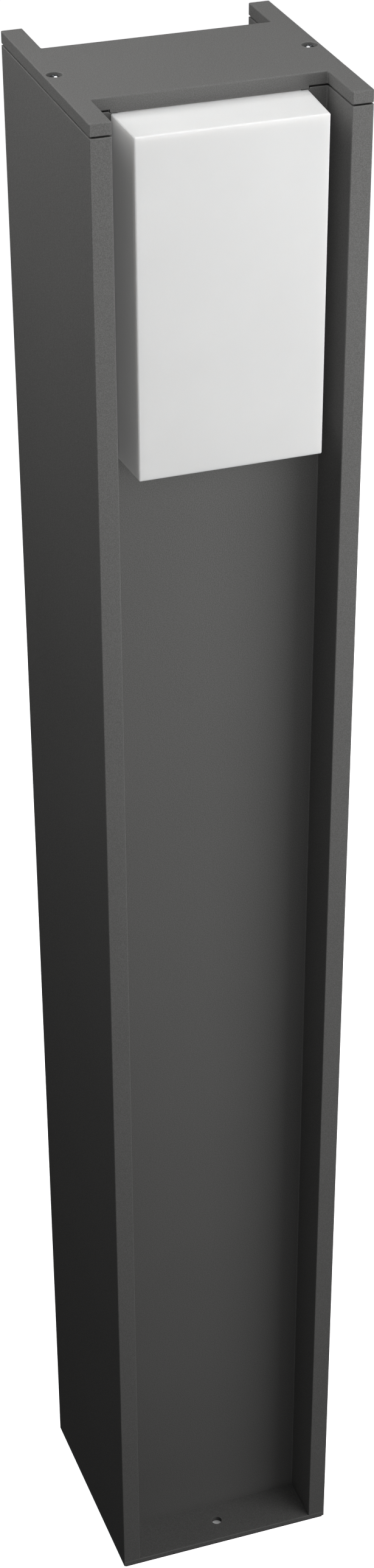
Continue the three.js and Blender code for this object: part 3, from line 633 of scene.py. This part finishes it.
def diffuser():
    """One moulding, lofted from its inner face round the rim behind the web to its outer face."""
    inner_front = LIGHT_FRONT + LIGHT_WALL
    throat = NECK_HALF - LIGHT_WALL
    neck_bottom = WINDOW_BOTTOM + FIT
    seat = LIGHT_HIGH.z
    rings = [
        drafted_ring(LIGHT_WALL + 0.6, inner_front, 0.7),
        drafted_ring(LIGHT_WALL + 0.2, inner_front + 0.4, 1.1),
        drafted_ring(LIGHT_WALL + 0.2, LIGHT_BACK - 2, 1.1),
        frame_ring(throat, neck_bottom + LIGHT_WALL, seat - LIGHT_WALL, LIGHT_BACK - 2, 1.1),
        frame_ring(throat, neck_bottom + LIGHT_WALL, seat - LIGHT_WALL, RIM_BACK, 1.1),
        frame_ring(LIGHT_HIGH.x, LIGHT_LOW.z, seat, RIM_BACK, 0.3),
        frame_ring(LIGHT_HIGH.x, LIGHT_LOW.z, seat, RIM_FRONT, 0.3),
        frame_ring(NECK_HALF, neck_bottom, seat, RIM_FRONT, 0.3),
        frame_ring(NECK_HALF, neck_bottom, seat, LIGHT_BACK, 0.3),
        drafted_ring(0, LIGHT_BACK, LIGHT_EDGE),
    ]
    for turn in quarter(6):
        inset = LIGHT_EDGE * (1 - math.cos(turn))
        depth = LIGHT_EDGE * (1 - math.sin(turn))
        rings.append(drafted_ring(inset, LIGHT_FRONT + depth, max(LIGHT_EDGE - inset, 0.08)))
    return loft(rings)


piece("diffuser", diffuser())

# ------------------------------------------------------------------ cap

HEAD_SEAT = HEIGHT - 2         # floor of the counterbores of the cap screws
COUNTERBORE = 3.25
CAP_BORE = 1.75
TRAY_SCREW_X = 30
LIP_HALF = 40.7                # lip of the cap over the light box
LIP_BACK = -30.3
SEAL_INSET = 1.4               # depth of the open seam round the cap


def counterbore(x):
    """The recess and the bore of one cap screw, with a small broken edge at the top."""
    low, rim = CAP_BOTTOM - 1, COUNTERBORE + 0.25
    profile = [(0, low), (CAP_BORE, low), (CAP_BORE, HEAD_SEAT), (COUNTERBORE, HEAD_SEAT),
               (COUNTERBORE, HEIGHT - 0.25), (COUNTERBORE + 0.07, HEIGHT - 0.1), (rim, HEIGHT),
               (rim, HEIGHT + 1), (0, HEIGHT + 1)]
    return placed(turned(profile, 48), x, 0, 0)


def top_cap():
    """The H-shaped plate with its lip, a skirt that slots into the tube, and bosses for the tray."""
    low = CAP_LOW.z
    seam = CAP_BOTTOM + 0.5
    outer = rectangle(-CAVITY_X + 0.5, -CAVITY_Y + 0.5, CAVITY_X - 0.5, CAVITY_Y - 0.5, 0.8)
    inner = rectangle(-CAVITY_X + 3, -CAVITY_Y + 3, CAVITY_X - 3, CAVITY_Y - 3, 0.8)
    skirt = combine(prism(outer, low, seam, 0.2, [inner]), cut=[
        *ports(0.6, low - 1, seam + 1),
        block(-LIGHT_HIGH.x - 1, LIGHT_HIGH.x + 1, -CAVITY_Y - 1, 0, low - 1, seam + 1),
    ])
    bosses = [rod(side * TRAY_SCREW_X, 0, TRAY_HIGH.z, seam, 4) for _, side in SIDES]
    lip = block(-LIP_HALF, LIP_HALF, -WEB_Y, LIP_BACK, LIGHT_HIGH.z + 0.3, seam, 0.1)
    plate = prism(h_section(0, EDGE), CAP_BOTTOM, HEIGHT, 0.45)
    return combine(plate, [lip, skirt, *bosses], [
        *[counterbore(side * CAP_SCREW_X) for _, side in SIDES],
        *[rod(side * TRAY_SCREW_X, 0, TRAY_HIGH.z - 1, CAP_BOTTOM + 2.5, 1.6, 20) for _, side in SIDES],
    ])


# Domed screws: radius and height of the head, radius and length of the shank.
SCREWS = {
    "cap": (2.85, 1.65, 1.5, 15),
    "tray": (2.8, 1.7, 1.45, 5),
    "board": (2.8, 1.6, 1.45, 6),
    "driver": (2.8, 1.6, 1.45, 3.4),
    "terminal": (2.6, 1.8, 1.45, 16),
    "earth": (3.6, 2.2, 1.95, 5),
}


def threads(radius, low, high, pitch, depth):
    """Outline points of rolled threads, from low to high."""
    points = []
    for k in range(int((high - low) / pitch)):
        z = low + k * pitch
        for share, drop in ((0.2, 0), (0.5, depth), (0.8, 0)):
            points.append((radius - drop, z + share * pitch))
    return points


def button_screw(head, height, shank, length, socket=0.36):
    """A domed socket screw with rolled threads, head up, with the underside of its head at z = 0."""
    profile = [(0, -length), (shank - 0.35, -length), (shank, -length + 0.4)]
    profile += threads(shank, -length + 0.4, -0.8, 0.5, 0.22)
    profile += [(shank, -0.3), (shank, 0), (head - 0.15, 0), (head, 0.12), (head, 0.25)]
    for turn in quarter(9, 1, 8):
        profile.append((head * math.cos(turn), 0.25 + (height - 0.25) * math.sin(turn)))
    profile.append((0, height))
    body = turned(profile, 48)
    wrench = prism(circle(0, 0, head * socket, 6), height * 0.42, height + 1)
    return combine(body, cut=[wrench])


piece("top_cap", top_cap())
for name, side in SIDES:
    piece(f"cap_screw_{name}", placed(button_screw(*SCREWS["cap"]), side * CAP_SCREW_X, 0, HEAD_SEAT))

# ------------------------------------------------------------------ base fittings and seals


GLAND_HEX = 24                 # across the flats


def base_screw():
    """A countersunk socket screw, head down at z = 0."""
    body = turned([(0, 0), (3.75, 0), (3.9, 0.12), (3.9, 0.3), (2, 2), (2, 2.6)]
                  + threads(2, 2.6, 18.8, 0.7, 0.3) + [(2, 19), (1.2, 20), (0, 20)], 32)
    return combine(body, cut=[prism(circle(0, 0, 1.5, 6), -1, 1.2)])


def hexagon(across):
    """A hexagon by its width across the flats."""
    return circle(0, 0, across / 2 / math.cos(math.pi / 6), 6)


def gland_body():
    low, high = box_mm("gland_body")
    flange = PLATFORM_TOP + 5
    barrel = [(0, low.z), (9.6, low.z), (9.9, low.z + 0.3)]
    barrel += threads(9.9, low.z + 0.3, PLATFORM_TOP - 0.4, 1.5, 0.5)
    barrel += [(9.9, PLATFORM_TOP + 1), (9, PLATFORM_TOP + 1), (9, flange + 0.3)]
    barrel += threads(9, flange + 0.4, high.z - 0.6, 1.5, 0.5)
    barrel += [(9, high.z - 0.4), (8.6, high.z), (0, high.z)]
    return combine(turned(barrel, 64), [prism(hexagon(GLAND_HEX), PLATFORM_TOP, flange, 0.5)],
                   [rod(0, 0, 0, high.z + 1, 6.7, 64)])


def gland_nut():
    low, high = box_mm("gland_nut")
    top = high.z - 5
    dome = [(0, low.z + 2), (10.9, low.z + 2), (11, top)]
    for turn in quarter(8, 1):
        dome.append((7.5 + 3.5 * math.cos(turn), top + 5 * math.sin(turn)))
    mouth = [(0, top), (7.4, top), (6.2, top + 4), (6.2, top + 4.5), (6.6, top + 5), (6.6, top + 6),
             (0, top + 6)]
    return combine(turned(dome + [(0, high.z)], 64), [prism(hexagon(GLAND_HEX), low.z, top - 1, 0.5)],
                   [rod(0, 0, 0, top + 0.4, 9.2, 64), turned(mouth, 64)])


def gland_seal():
    low, high = box_mm("gland_seal")
    return turned([(4, low.z + 0.4), (4.4, low.z), (6, low.z), (6.4, low.z + 0.4), (6.4, high.z - 3),
                   (5.7, high.z - 0.4), (5.3, high.z), (4.3, high.z), (4, high.z - 0.3)], 64)


def base_gasket():
    low, high = box_mm("base_gasket")
    holes = [circle(0, 0, 12, 64)] + [circle(0, sy * GROUND_HOLE_Y, 4) for sy in (-1, 1)]
    return prism(rectangle(low.x, low.y, high.x, high.y, 1), low.z, high.z, 0.2, holes)


def cap_gasket():
    low, high = box_mm("cap_gasket")
    x, y = CAVITY_X - FIT, CAVITY_Y - FIT
    sheet = prism(h_section(SEAL_INSET, EDGE), low.z, high.z, 0.1, [rectangle(-x, -y, x, y, 0.8)])
    notch = block(-LIP_HALF - FIT, LIP_HALF + FIT, -WEB_Y - 1, LIP_BACK + FIT, low.z - 1, high.z + 1)
    return combine(sheet, cut=[notch])


def light_box_seal():
    low, high = box_mm("light_box_seal")
    return block(low.x, high.x, low.y, high.y, low.z, high.z, 0.35)


def diffuser_gasket():
    low, high = box_mm("diffuser_gasket")
    inner = WINDOW_HALF + FIT
    strip = [(-high.x, high.z), (-high.x, low.z), (high.x, low.z), (high.x, high.z),
             (inner, high.z), (inner, WINDOW_BOTTOM - FIT), (-inner, WINDOW_BOTTOM - FIT),
             (-inner, high.z)]
    return prism(rounded(strip, 0.3), low.y, high.y, 0.2, along="Y")


for name, made in (("gland_body", gland_body), ("gland_nut", gland_nut), ("gland_seal", gland_seal),
                   ("base_gasket", base_gasket), ("cap_gasket", cap_gasket),
                   ("light_box_seal", light_box_seal), ("diffuser_gasket", diffuser_gasket)):
    piece(name, made())
for k in range(1, 5):
    name = f"base_screw_{k}"
    x, y, _ = middle(name)
    piece(name, placed(base_screw(), x, y, box_mm(name)[0].z))

# ------------------------------------------------------------------ gear tray and light engine

SHEET = 1.5                    # thickness of the tray
SCREW_HOLE = 1.6
FRONTWARDS = math.pi / 2       # turns about X that lay a solid's top to the front or to the back
BACKWARDS = -math.pi / 2
BOARD_SCREWS = [f"board_screw_{k}" for k in range(1, 5)]
DRIVER_SCREWS = [f"driver_screw_{k}" for k in range(1, 3)]
TERMINAL_FIXINGS = [f"terminal_fixing_{k}" for k in range(1, 3)]
LEDS = [f"led_{k}" for k in range(1, 9)]
TRAY_FRONT = TRAY_LOW.y
TRAY_BACK = TRAY_FRONT + SHEET


def holes_at(nodes, radius):
    """Round outlines in X and Z at the middles of the named nodes."""
    return [circle(*middle(node).xz, radius, 24) for node in nodes]


def gear_tray():
    """Bent sheet: a plate, a fold down each side and one at the top, under the cap."""
    x, low, high = TRAY_HIGH.x, TRAY_LOW.z, TRAY_HIGH.z
    bores = holes_at(BOARD_SCREWS + DRIVER_SCREWS + TERMINAL_FIXINGS, SCREW_HOLE)
    bores += holes_at(["earth_screw"], 2.1) + holes_at(["wire_grommet"], 3.4)
    plate = prism(rectangle(-x, low, x, high, 3), TRAY_FRONT, TRAY_BACK, 0.2, bores, along="Y")
    folds = []
    for _, side in SIDES:
        x0, x1 = sorted((side * (x - SHEET), side * (x - 0.25)))
        folds.append(block(x0, x1, TRAY_FRONT + 0.1, TRAY_BACK + 8, low + 8, high - 12, 0.4))
    folds.append(block(-40, 40, TRAY_FRONT + 0.1, TRAY_HIGH.y, high - SHEET, high - 0.25, 0.4))
    screws = [rod(side * TRAY_SCREW_X, 0, high - 3, high + 1, 1.7, 24) for _, side in SIDES]
    return combine(plate, folds, screws)


def sheet_y(node, corner, rim, holes=()):
    """A flat rectangular sheet that faces the front, in the box of its node."""
    low, high = box_mm(node)
    return prism(rectangle(low.x, low.z, high.x, high.z, corner), low.y, high.y, rim, holes, along="Y")


def reflector():
    """A shallow flared tray, with a round opening for each light source and a hole for each screw."""
    low, high = box_mm("reflector")
    flare, wall, lip = 6.6, 1.2, 0.3

    def ring(inset, y):
        grow = flare * (high.y - y) / (high.y - low.y) - flare - inset
        return frame_ring(high.x + grow, low.z - grow, high.z + grow, y, 3)

    tray = loft([
        ring(wall, high.y - wall), ring(wall, low.y + lip), ring(wall - lip, low.y), ring(lip, low.y),
        ring(0, low.y + lip), ring(0, high.y),
    ])
    cup = [(0, -1), (4.2, -1), (4.2, 0.5), (5.5, 1.8), (0, 1.8)]
    cups = []
    for node in LEDS:
        x, _, z = middle(node)
        cups.append(placed(turned(cup, 40), x, high.y, z, FRONTWARDS))
    screws = [rod_y(*middle(node).xz, low.y, high.y + 1, 1.7, 24) for node in BOARD_SCREWS]
    return combine(tray, cut=[*cups, *screws])


def led(node):
    low, high = box_mm(node)
    x, _, z = middle(node)
    housing = prism(rectangle(low.x, low.z, high.x, high.z, 0.35), LED_FRONT, high.y, 0.1, along="Y")
    dome = [(0, 0.5), (2, 0.5), (2, 1.1)]
    for turn in quarter(8, 1, 7):
        dome.append((2 * math.cos(turn), 1.1 + math.sin(turn)))
    return combine(housing, [placed(turned([*dome, (0, 2.1)], 32), x, high.y, z, FRONTWARDS)])


def wire_grommet():
    x, y, z = middle("wire_grommet")
    half = [(3.2, 0.72), (3.28, 0.8), (3.8, 0.86), (3.96, 1.02), (4, 1.24), (3.9, 1.5), (3.66, 1.6),
            (2.95, 1.6), (2.7, 1.5), (2.6, 1.25)]
    profile = half + [(radius, -height) for radius, height in reversed(half)]
    return placed(turned(profile, 40), x, y, z, FRONTWARDS)


piece("gear_tray", gear_tray())
piece("thermal_pad", sheet_y("thermal_pad", 0.8, 0.1, holes_at(BOARD_SCREWS, 1.8)))
piece("led_board", sheet_y("led_board", 2, 0.12, holes_at(BOARD_SCREWS, SCREW_HOLE)))
piece("reflector", reflector())
piece("wire_grommet", wire_grommet())
for node in LEDS:
    piece(node, led(node))
for node in BOARD_SCREWS:
    x, _, z = middle(node)
    screw = button_screw(*SCREWS["board"])
    piece(node, placed(screw, x, box_mm("reflector")[1].y - 1.2, z, FRONTWARDS))
for name, side in SIDES:
    screw = button_screw(*SCREWS["tray"])
    piece(f"tray_screw_{name}", placed(screw, side * TRAY_SCREW_X, 0, TRAY_HIGH.z - SHEET, math.pi))

# ------------------------------------------------------------------ driver

FEED_X = (-9, 4)               # where the live and the neutral wire enter the driver
FEED_Y = 0
LEAD_Y = 2                     # where the leads of the light sources leave it
LEAD_GAP = 1.2
LEAD_Z = middle("wire_grommet").z


def driver_housing():
    low, high = box_mm("driver_housing")
    case_low, case_high = box_mm("driver_lid")
    bottom, top, wall = case_low.z, case_high.z, 1.6
    case = prism(rectangle(low.x, bottom, high.x, top, 2), low.y, high.y, 0.3, along="Y")
    ears = [
        prism(rectangle(-6, low.z, 6, bottom + 1, 0.9), low.y + CLEAR, low.y + 2, 0.3, along="Y"),
        prism(rectangle(-6, top - 1, 6, high.z, 0.9), low.y + CLEAR, low.y + 2, 0.3, along="Y"),
    ]
    inside = rectangle(low.x + wall, bottom + wall, high.x - wall, top - wall, 1)
    cuts = [prism(inside, low.y + wall, high.y + 1, along="Y")]
    cuts += [rod_y(*middle(node).xz, low.y - 1, low.y + 3, SCREW_HOLE, 24) for node in DRIVER_SCREWS]
    cuts += [rod(x, FEED_Y, bottom - 1, bottom + wall + 1, 1.4, 24) for x in FEED_X]
    cuts += [rod_x(LEAD_Y, LEAD_Z + sign * LEAD_GAP, high.x - 4, high.x + 1, 1) for sign in (-1, 1)]
    return combine(case, ears, cuts)


def driver_lid():
    low, high = box_mm("driver_lid")
    lip = [rectangle(-17.6, low.z + 3.2, 17.6, high.z - 3.2, 0.5)]
    plate = prism(rectangle(low.x, low.z, high.x, high.z, 2), high.y - 1.5, high.y, 0.3, along="Y")
    rim = rectangle(-18.8, low.z + 2, 18.8, high.z - 2, 0.9)
    ring = prism(rim, low.y, high.y - 0.8, 0.2, lip, along="Y")
    panel = prism(rectangle(-14, low.z + 16, 14, high.z - 16, 2), high.y - 0.3, high.y + 1, along="Y")
    return combine(plate, [ring], [panel])


def driver_transformer():
    low, high = box_mm("driver_transformer")
    core = block(low.x, high.x, low.y, high.y, low.z + 3, high.z - 3, 0.5)
    bobbin = block(low.x + 3, high.x - 3, low.y + 1, high.y - 1, low.z, high.z, 0.5)
    return combine(core, [bobbin])


def driver_capacitor():
    low, high = box_mm("driver_capacitor")
    x, y, _ = middle("driver_capacitor")
    radius = high.x - x
    profile = [(0, low.z), (radius - 0.8, low.z), (radius - 0.2, low.z + 0.25), (radius, low.z + 0.8),
               (radius, low.z + 1.6), (radius - 0.5, low.z + 2.1), (radius, low.z + 2.6),
               (radius, high.z - 0.6), (radius - 0.5, high.z), (radius - 1, high.z),
               (radius - 1.2, high.z - 0.3), (0, high.z - 0.3)]
    return placed(turned(profile), x, y, 0)


piece("driver_housing", driver_housing())
piece("driver_lid", driver_lid())
piece("driver_board", sheet_y("driver_board", 1, 0.12))
piece("driver_transformer", driver_transformer())
piece("driver_capacitor", driver_capacitor())
for node in DRIVER_SCREWS:
    x, _, z = middle(node)
    piece(node, placed(button_screw(*SCREWS["driver"]), x, TRAY_BACK + 2, z, BACKWARDS))

# ------------------------------------------------------------------ terminal block, earth and wires

TERMINAL_SCREWS = [f"terminal_screw_{k}" for k in range(1, 4)]
TERMINAL_LOW, TERMINAL_HIGH = box_mm("terminal_block")
WIRE_Y = -4                    # middle line of the wires in the block
LUG_FACE = TRAY_BACK + 0.1
BARREL_Y = LUG_FACE + 1.8
EARTH_X, _, EARTH_Z = middle("earth_screw")
FEED_RADIUS = 1.1
LEAD_RADIUS = 0.7


def terminal_block():
    """A block with a wire hole, flared at both ends, and a screw well for each pole."""
    low, high = TERMINAL_LOW, TERMINAL_HIGH
    body = prism(rectangle(low.x, low.z, high.x, high.z, 1.2), low.y, high.y, 0.4, along="Y")
    length = high.z - low.z
    bore = [(0, -1), (3.4, -1), (2, 0.6), (2, length - 0.6), (3.4, length + 1), (0, length + 1)]
    cuts = []
    for node in TERMINAL_SCREWS:
        x, _, z = middle(node)
        cuts += [placed(turned(bore, 32), x, WIRE_Y, low.z), rod_y(x, z, WIRE_Y + 0.3, high.y + 1, 2.7)]
    for node in TERMINAL_FIXINGS:
        x, _, z = middle(node)
        cuts.append(rod_y(x, z, low.y - 1, high.y + 1, SCREW_HOLE, 24))
        cuts.append(rod_y(x, z, high.y - 3, high.y + 1, 2.9))
    return combine(body, cut=cuts)


def terminal_screw(node):
    low, high = box_mm(node)
    x, _, z = middle(node)
    length = high.y - low.y
    body = turned([(0, 0), (2.2, 0), (2.5, 0.3), (2.5, length - 0.3), (2.2, length), (0, length)], 32)
    slot = block(x - 0.4, x + 0.4, high.y - 1, high.y + 1, z - 4, z + 4)
    return combine(placed(body, x, low.y, z, BACKWARDS), cut=[slot])


def earth_lug():
    """A ring tongue under the earth screw, with a barrel for the wire."""
    low = box_mm("earth_lug")[0]
    neck = rectangle(EARTH_X - 9, EARTH_Z - 1.8, EARTH_X - 3, EARTH_Z + 1.8, 0.3)
    tongue = prism(neck, LUG_FACE, LUG_FACE + 1, along="Y")
    return combine(rod_y(EARTH_X, EARTH_Z, LUG_FACE, LUG_FACE + 1, 4.5, 48), [
        tongue,
        rod_x(BARREL_Y, EARTH_Z, low.x, low.x + 6.5, 1.8, 32),
    ], [
        rod_y(EARTH_X, EARTH_Z, LUG_FACE - 1, LUG_FACE + 3, 2.2),
        rod_x(BARREL_Y, EARTH_Z, low.x - 1, low.x + 4, 1.3, 32),
    ])


piece("terminal_block", terminal_block())
for node in TERMINAL_SCREWS:
    piece(node, terminal_screw(node))
for node in TERMINAL_FIXINGS:
    x, _, z = middle(node)
    piece(node, placed(button_screw(*SCREWS["terminal"]), x, TERMINAL_HIGH.y - 3, z, BACKWARDS))
piece("earth_lug", earth_lug())
screw = button_screw(*SCREWS["earth"])
piece("earth_screw", placed(screw, EARTH_X, LUG_FACE + 1.05, EARTH_Z, BACKWARDS))

CLAMP = TERMINAL_HIGH.z
ENTRY = box_mm("driver_lid")[0].z
POLES = [middle(node).x for node in TERMINAL_SCREWS]
for name, start, end in zip(("live_wire", "neutral_wire"), POLES, FEED_X):
    piece(name, tube([
        (start, WIRE_Y, CLAMP - 6), (start, WIRE_Y, CLAMP), (start, WIRE_Y + 1, CLAMP + 10),
        ((start + end) / 2, WIRE_Y + 5, CLAMP + 18), (end, FEED_Y + 2, ENTRY - 10),
        (end, FEED_Y, ENTRY - 3), (end, FEED_Y, ENTRY + 3),
    ], FEED_RADIUS))
x = POLES[2]
piece("earth_wire", tube([
    (x, WIRE_Y, CLAMP - 6), (x, WIRE_Y, CLAMP + 2), (x + 1, WIRE_Y - 2, CLAMP + 6),
    (x + 4, LUG_FACE + 2, EARTH_Z), (EARTH_X - 15, BARREL_Y, EARTH_Z),
    (EARTH_X - 11, BARREL_Y, EARTH_Z),
], FEED_RADIUS))
HOLE_X = middle("wire_grommet").x
BOARD_FRONT = box_mm("led_board")[0].y
for name, sign in (("led_lead_positive", 1), ("led_lead_negative", -1)):
    z = LEAD_Z + LEAD_GAP * sign
    piece(name, tube([
        (17, LEAD_Y, z), (25, LEAD_Y, z), (34, 0.5, z), (HOLE_X, -5, z), (HOLE_X, TRAY_BACK - 0.7, z),
        (HOLE_X, TRAY_FRONT - 1.5, z), (36.8, BOARD_FRONT - 1.2, z + sign),
        (34.5, BOARD_FRONT - 1, z + 2 * sign), (32, BOARD_FRONT - 0.8, z + 3 * sign),
    ], LEAD_RADIUS))

# ------------------------------------------------------------------ studio


def stage(name, points, faces, glow):
    """A part of the pale studio that the camera sees and that neither lights nor shades the object."""
    mesh = bpy.data.meshes.new(name)
    mesh.from_pydata(points, [], faces)
    made = Finish(name)
    made.colour(made.blend(made.span(made.noise(0.4, 2), 0, 1), (0.90, 0.90, 0.90), (0.93, 0.93, 0.93)))
    made.rough(made.span(made.noise(0.2), 0.85, 0.95))
    made.shader.inputs["Emission Color"].default_value = (1, 1, 1, 1)
    made.shader.inputs["Emission Strength"].default_value = glow
    mesh.materials.append(made.material)
    item = bpy.data.objects.new(name, mesh)
    item.visible_diffuse = False
    item.visible_glossy = False
    item.visible_shadow = False
    bpy.context.collection.objects.link(item)


def square(half, z):
    return [(x * half, y * half, z) for x, y in QUARTERS]


def studio():
    """A pale floor just under the object, painted shade below its base, pale walls and a ceiling."""
    floor = square(STUDIO_HALF, FLOOR_DROP)
    walls = [(k, (k + 1) % 4, (k + 1) % 4 + 4, k + 4) for k in range(4)]
    stage("floor", floor, [(0, 1, 2, 3)], STUDIO_GLOW)
    stage("backdrop", floor + square(STUDIO_HALF, STUDIO_HEIGHT), [*walls, (4, 5, 6, 7)], STUDIO_GLOW)
    # painted shade: a dim sheet under the base that stands in for its shadow, seen through the holes
    stage("shade", square(SHADE_HALF, FLOOR_DROP / 2), [(0, 1, 2, 3)], SHADE_GLOW)


def softbox(name, azimuth, elevation, distance, size, power):
    """A square soft light that faces the middle of the object, placed by its direction and distance."""
    data = bpy.data.lights.new(name, "AREA")
    data.shape = "SQUARE"
    data.size = size
    data.energy = power
    away = direction(azimuth, elevation)
    item = bpy.data.objects.new(name, data)
    item.location = AIM + away * distance
    item.rotation_mode = "QUATERNION"
    item.rotation_quaternion = (-away).to_track_quat("-Z", "Y")
    bpy.context.collection.objects.link(item)


def room():
    """The light of a plain room: dim walls, a pale wall in front, and a little from the floor there."""
    world = bpy.data.worlds.new("room")
    world.use_nodes = True
    nodes, links = world.node_tree.nodes, world.node_tree.links
    place = nodes.new("ShaderNodeTexCoord")
    split = nodes.new("ShaderNodeSeparateXYZ")
    links.new(place.outputs["Generated"], split.inputs[0])

    def span(axis, start, end, low, high):
        node = nodes.new("ShaderNodeMapRange")
        for name, value in zip(("From Min", "From Max", "To Min", "To Max"), (start, end, low, high)):
            node.inputs[name].default_value = value
        links.new(split.outputs[axis], node.inputs["Value"])
        return node.outputs["Result"]

    def calculate(operation, first, second):
        node = nodes.new("ShaderNodeMath")
        node.operation = operation
        for socket, value in zip(node.inputs, (first, second)):
            if isinstance(value, bpy.types.NodeSocket):
                links.new(value, socket)
            else:
                socket.default_value = value
        return node.outputs["Value"]

    rising, falling = span("Z", -0.24, -0.10, 0, FRONT_WALL), span("Z", 0.10, 0.24, FRONT_WALL, 0)
    wall = calculate("MINIMUM", rising, falling)
    ahead = calculate("ADD", wall, span("Z", -0.8, -0.6, FLOOR_LIGHT, 0))
    lit = calculate("MULTIPLY", ahead, span("Y", -0.12, 0.04, 1, 0))
    links.new(calculate("ADD", lit, ROOM_LIGHT), nodes["Background"].inputs["Strength"])
    nodes["Background"].inputs["Color"].default_value = (1, 1, 1, 1)
    bpy.context.scene.world = world


STUDIO_HALF = 14               # metres, past the camera of every view
STUDIO_HEIGHT = 16
STUDIO_GLOW = 1
FLOOR_DROP = -0.0004
# size and glow of the sheet of painted shade under the base
SHADE_HALF = 0.05              # inside the edge of the base
SHADE_GLOW = 0.1
ROOM_LIGHT = 0.015
FRONT_WALL = 0.47
FLOOR_LIGHT = 0.15
AIM = Vector((0, 0, 0.6))
studio()
room()
softbox("key", 40, 0, 0.8, 0.6, 3.8)
softbox("front", 0, 20, 0.6, 0.45, 1.05)
softbox("right", 72, 58, 0.55, 0.45, 1.4)
softbox("left", -105, 52, 0.5, 0.4, 1.75)
softbox("rear", 130, -5, 1.4, 0.7, 12)
softbox("spark", 160, 56, 0.75, 0.12, 0.4)
bpy.context.scene.view_settings.view_transform = "Standard"
